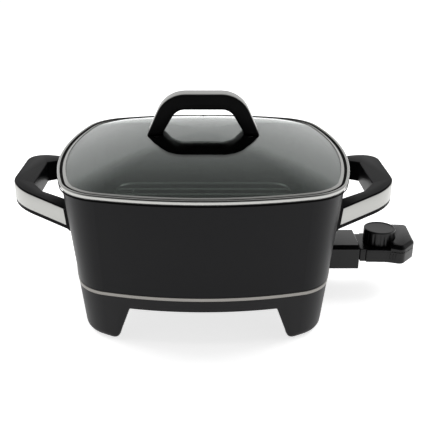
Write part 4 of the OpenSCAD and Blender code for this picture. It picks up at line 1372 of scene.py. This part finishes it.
@dataclass(frozen=True)
class Control:
    """The plug-in control's two covers."""

    nose: float = 155.0
    nose_l: float = 12.0
    nose_floor: float = 1.0
    collar: float = 183.0
    body: float = 189.5
    flare: float = 231.0
    flare_l: float = 16.5
    end: float = 248.0
    neck_half: float = 18.5
    collar_half: float = 22.25
    collar_r: float = 0.8
    body_half: float = 24.45
    body_r: float = 2.0
    waist_half: float = 25.25
    waist_r: float = 30.0
    front_half: float = 31.0
    cut_half: float = 12.0
    cut_r: float = 8.0
    end_half: float = 31.0
    end_r: float = 5.0
    back_half: float = 32.0
    back_r: float = 12.0
    raised_back_r: float = 6.0
    plan_steps: int = 10
    low: float = 40.0
    split: float = 54.0
    platform: float = 56.5
    end_top: float = 65.0
    knob_x: float = 208.5
    nest_r: float = 19.3
    nest_in: float = 9.0
    nest_steps: int = 25
    seam: float = 0.05
    seam_edge: float = 0.1
    low_edge: float = 2.4
    deck_edge: float = 0.9
    end_fall: float = 2.4
    front_bevel: float = 4.0
    back_bevel: float = 0.8
    bevel_ease: float = 0.06
    bevel_over: float = 1.1
    end_sweep: float = 3.5
    sweep_rows: int = 9
    holes: Holes = Holes(pin_r=2.9, probe_r=4.1)
    ribs: tuple[float, ...] = (214.5, 217.5, 220.5, 223.5)
    rib_r: float = 0.75
    rib_sunk: float = 0.25
    rib_clear: float = 2.2
    rib_lift: float = 0.8
    rib_tip: float = 0.003
    rib_rows: int = 14
    rib_steps: int = 12

    @property
    def waist(self) -> float:
        """Where the flare starts."""
        return self.flare - self.flare_l

    @property
    def tail(self) -> Array:
        """Corners of the flared end, whose front corner is cut off, from the front to the back."""
        return np.array([
            [self.flare, -self.front_half], [self.end, -self.cut_half],
            [self.end, self.end_half], [self.flare, self.back_half],
        ])

    def plan(self) -> Plan:
        """Plan of neck, collar, waist and flared end.

        Returns:
            The outline.
        """
        start = self.nose + self.nose_l - self.nose_floor
        front = np.array([
            [start, self.neck_half], [self.collar, self.neck_half],
            [self.collar, self.collar_half], [self.body, self.collar_half],
            [self.body, self.body_half], [self.waist, self.waist_half],
        ])
        radii = [0, 0, self.collar_r, 0, self.body_r, self.waist_r]
        ends = [self.cut_r, self.cut_r, self.end_r, self.back_r]
        corners = np.vstack([front * [1, -1], self.tail, front[::-1]])
        return Plan(corners, radii + ends + radii[::-1], self.plan_steps)

    def end_ring(self, depth: float) -> Array:
        """The raised end's outline, moved in by a depth except along the nest round the dial.

        Args:
            depth: Distance inwards.

        Returns:
            Points in counter-clockwise order, as many for every depth.
        """
        start = self.knob_x + self.nest_in
        share = (start - self.waist) / self.flare_l
        front = self.waist_half + share * (self.front_half - self.waist_half)
        back = self.waist_half + share * (self.back_half - self.waist_half)
        border = Plan(
            np.vstack([[start, -front], self.tail, [start, back]]),
            [0, self.cut_r, self.cut_r, self.end_r, self.raised_back_r, 0], self.plan_steps,
        )
        reach = math.acos(self.nest_in / self.nest_r)
        angle = np.linspace(reach, -reach, self.nest_steps)
        nest = self.nest_r * np.stack([np.cos(angle), np.sin(angle)], axis=1) + [self.knob_x, 0]
        return np.vstack([border.ring(depth), nest])

    def raised(self, low: float) -> Array:
        """Rings of the raised end, with a falling top.

        A point's share of the front is its distance from the back over the whole width. The top
        falls with that share, and the bevel round it grows with it from the back to the front. The
        bevel is eased at both ends.

        Args:
            low: Height of the underside.

        Returns:
            Rings as (rows, points, 3).
        """
        flat = self.end_ring(0.0)
        share = np.clip((self.back_half - flat[:, 1:]) / (self.back_half + self.front_half), 0, 1)
        top = self.end_top - self.end_fall * share
        drop = self.back_bevel + (self.front_bevel - self.back_bevel) * share
        drawn = (self.end_ring(self.front_bevel) - flat) * drop / self.front_bevel
        ease, over = self.bevel_ease, self.bevel_over
        parts = (0.0, ease, 1 - ease, over)
        rings = [
            np.hstack([flat + part * drawn, top - fall * drop])
            for part, fall in zip(parts, parts[::-1])
        ]
        return np.stack([np.hstack([flat, np.full_like(top, low)]), *rings])

    def swept_end(self, rows: Array) -> Array:
        """Draws the end in towards its underside, along a quarter circle in height.

        Args:
            rows: Rings of the cover.

        Returns:
            The drawn rings.
        """
        short = np.clip(self.end_sweep - (rows[..., 2:] - self.low), 0, self.end_sweep)
        lost = self.end_sweep - np.sqrt(self.end_sweep**2 - short**2)
        tail = np.clip((rows[..., :1] - self.flare) / (self.end - self.flare), 0, 1)
        return rows - lost * tail * [1, 0, 0]

    def rib(self, x: float) -> Array:
        """A grip rib: an upright round bar on the front face whose radius closes at both ends.

        The radius is r * sqrt(1 - t ** 8) for t from -1 to 1 over the height.

        Args:
            x: Where the rib stands.

        Returns:
            Rings as (rows, points, 3).
        """
        lean = (self.front_half - self.waist_half) / self.flare_l
        y = self.rib_sunk - self.waist_half - max(x - self.waist, 0.0) * lean
        t = np.cos(np.linspace(0.0, np.pi, self.rib_rows))[:, None]
        angle = np.linspace(0, 2 * np.pi, self.rib_steps, endpoint=False)
        radius = self.rib_r * np.sqrt(np.maximum(1 - t**8, self.rib_tip))
        middle = (self.low + self.split) / 2 + self.rib_lift
        reach = (self.split - self.low) / 2 - self.rib_clear
        return np.stack([
            x + radius * np.cos(angle), y + radius * np.sin(angle),
            np.broadcast_to(middle + reach * t, radius.shape[:1] + angle.shape),
        ], axis=-1)

    def lower(self) -> bpy.types.Object:
        """The lower cover: its plan carried up, with a rounded lower edge and a swept end.

        Returns:
            The cover with its pierced nose and its ribs.
        """
        top = self.split - self.seam
        edges = np.split(slab_levels(self.low, top, self.low_edge, self.seam_edge), 2)
        between = np.linspace(self.low + self.low_edge, self.split - 1, self.sweep_rows)[1:-1]
        side = np.stack([np.zeros_like(between), between], axis=1)
        rows = self.plan().stack(np.vstack([edges[0], side, edges[1]]))
        skin = Skin("control_shell").tube(self.swept_end(rows))
        skin.pierced_row(
            np.array([
                [self.nose, -self.neck_half, self.low],
                [self.nose + self.nose_l, self.neck_half, self.platform],
            ]),
            self.holes, self.nose_l - self.nose_floor,
        )
        for x in self.ribs:
            skin.tube(self.rib(x))
        return skin.build()

    def upper(self) -> bpy.types.Object:
        """The upper cover: the plan carried up as a deck, and the raised end with its bevel.

        Returns:
            The cover.
        """
        low = self.split + self.seam
        deck = self.plan().stack(slab_levels(low, self.platform, self.seam_edge, self.deck_edge))
        return Skin("control_deck").tube(deck).tube(self.raised(low)).build()

    def build(self, wardrobe: Wardrobe) -> None:
        """Makes and dresses the covers."""
        wardrobe.place(self.lower(), "control", "control_lower_cover", "gloss_black")
        wardrobe.place(self.upper(), "control", "control_upper_cover", "gloss_black")


@dataclass(frozen=True)
class Lamp:
    """A square soft lamp that faces the skillet, with place and size in metres, power in watts."""

    name: str
    place: tuple[float, float, float]
    size: float
    power: float
    aim_z: float = 0.1

    def hang(self) -> None:
        """Hangs the lamp, so that steel and glass don't show the lamp itself."""
        light = bpy.data.lights.new(self.name, "AREA")
        light.energy = self.power
        light.size = self.size
        piece = bpy.data.objects.new(self.name, light)
        x, y, z = self.place
        piece.location = self.place
        piece.rotation_euler = (math.atan2(math.hypot(x, y), z - self.aim_z), 0.0, math.atan2(x, -y))
        piece.visible_glossy = False
        piece.visible_transmission = False
        bpy.context.scene.collection.objects.link(piece)


@dataclass(frozen=True)
class Studio:
    """Pale floor, white surround that greys overhead, soft lamps and the camera."""

    floor_half: float = 6.0
    floor_colour: Colour = (0.86, 0.86, 0.86)
    floor_roughness: float = 0.9
    floor_lift: float = 0.75
    surround: float = 0.8
    overhead: float = 0.04
    lean_back: float = 0.5
    fade_start: float = -0.1
    fade_end: float = 1.1
    lamps: tuple[Lamp, ...] = (
        Lamp("overhead_soft", (0.0, 0.3, 1.8), 2.0, 12.0),
        Lamp("left_soft", (-1.3, 0.5, 1.3), 0.7, 10.0),
        Lamp("right_soft", (1.3, 0.5, 1.3), 0.7, 10.0),
    )
    aim_z: float = 168.2
    elevation: float = 17.404
    pitch: float = 22.204
    distance: float = 842.1
    focal_px: float = 739.2
    axis_px: float = 203.35
    sensor: float = 36.0
    clip_start: float = 0.01

    def floor(self) -> None:
        """A pale floor that takes the shadow and reads white to the camera."""
        corners = box_corners([-self.floor_half] * 2, [self.floor_half] * 2)
        mesh = bpy.data.meshes.new("floor")
        mesh.from_pydata(np.pad(corners, ((0, 0), (0, 1))).tolist(), [], [range(4)])
        piece = bpy.data.objects.new("floor", mesh)
        bpy.context.scene.collection.objects.link(piece)
        made, tree, shader = new_material("pale_floor")
        lift = math_node(tree, "MULTIPLY", self.seen(tree), self.floor_lift)
        feed(tree, shader, {
            "Base Color": (*self.floor_colour, 1.0),
            "Roughness": self.floor_roughness,
            "Specular IOR Level": 0.0,
            "Emission Color": (1.0, 1.0, 1.0, 1.0),
            "Emission Strength": lift,
        })
        mesh.materials.append(made)

    @staticmethod
    def seen(tree: bpy.types.NodeTree) -> bpy.types.NodeSocket:
        """Marks the rays that the camera sees directly, in gloss or through glass.

        Args:
            tree: The material's tree.

        Returns:
            One for those rays, else zero.
        """
        ray = add_node(tree, "ShaderNodeLightPath").outputs
        direct = math_node(tree, "MAXIMUM", ray["Is Camera Ray"], ray["Is Glossy Ray"])
        return math_node(tree, "MAXIMUM", direct, ray["Is Transmission Ray"])

    def world(self) -> None:
        """A surround that is white to the camera, and else darkens overhead and in front."""
        world = bpy.data.worlds.new("white_surround")
        world.use_nodes = True
        bpy.context.scene.world = world
        tree = world.node_tree
        lean = add_node(tree, "ShaderNodeVectorMath", {
            0: add_node(tree, "ShaderNodeTexCoord").outputs["Generated"],
            1: (0.0, -self.lean_back, 1.0),
        }, operation="DOT_PRODUCT")
        shade = add_node(tree, "ShaderNodeMapRange", {
            "Value": lean.outputs["Value"],
            "From Min": self.fade_start, "From Max": self.fade_end,
            "To Min": self.surround, "To Max": self.overhead,
        }, interpolation_type="SMOOTHSTEP")
        ray = add_node(tree, "ShaderNodeLightPath").outputs["Is Camera Ray"]
        feed(tree, tree.nodes["Background"], {
            "Color": (1.0, 1.0, 1.0, 1.0),
            "Strength": math_node(tree, "MAXIMUM", ray, shade.outputs["Result"]),
        })

    def camera(self) -> None:
        """A camera at the photograph's angle, with only the sideways shift that its frame needs."""
        data = bpy.data.cameras.new("camera")
        data.sensor_width = self.sensor
        data.lens = data.sensor_width * self.focal_px / FRAME_PX
        data.shift_x = (FRAME_PX / 2 - self.axis_px) / FRAME_PX
        data.clip_start = self.clip_start
        piece = bpy.data.objects.new("camera", data)
        rise = math.radians(self.elevation)
        piece.location = (
            0.0,
            -self.distance * MM * math.cos(rise),
            (self.aim_z + self.distance * math.sin(rise)) * MM,
        )
        piece.rotation_euler = (math.pi / 2 - math.radians(self.pitch), 0.0, 0.0)
        bpy.context.scene.collection.objects.link(piece)
        bpy.context.scene.camera = piece

    def build(self) -> None:
        """Sets up floor, surround, lamps, camera and the plain view transform."""
        self.floor()
        self.world()
        for lamp in self.lamps:
            lamp.hang()
        self.camera()
        bpy.context.scene.view_settings.view_transform = "Standard"


def dress_frame(frame: dict, wardrobe: Wardrobe) -> None:
    """Gives every solid of the frame the material of its slot in the record."""
    for row in frame["record"]["subparts"]:
        wardrobe.dress_node(frame["nodes"][row["node"]], row["material_slot"])


def main() -> None:
    """Builds the studio, dresses the frame and adds the detailed pieces."""
    logging.basicConfig(level=logging.INFO, format="%(name)s: %(message)s")
    bpy.ops.object.select_all(action="SELECT")
    bpy.ops.object.delete()
    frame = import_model()
    wardrobe = Wardrobe()
    dress_frame(frame, wardrobe)
    handles = [SideHandle(side) for side in Side]
    for part in (Lid(), *handles, Base(), SocketGuard(), Control(), Knob()):
        part.build(wardrobe)
    Studio().build()


if __name__ == "__main__":
    main()
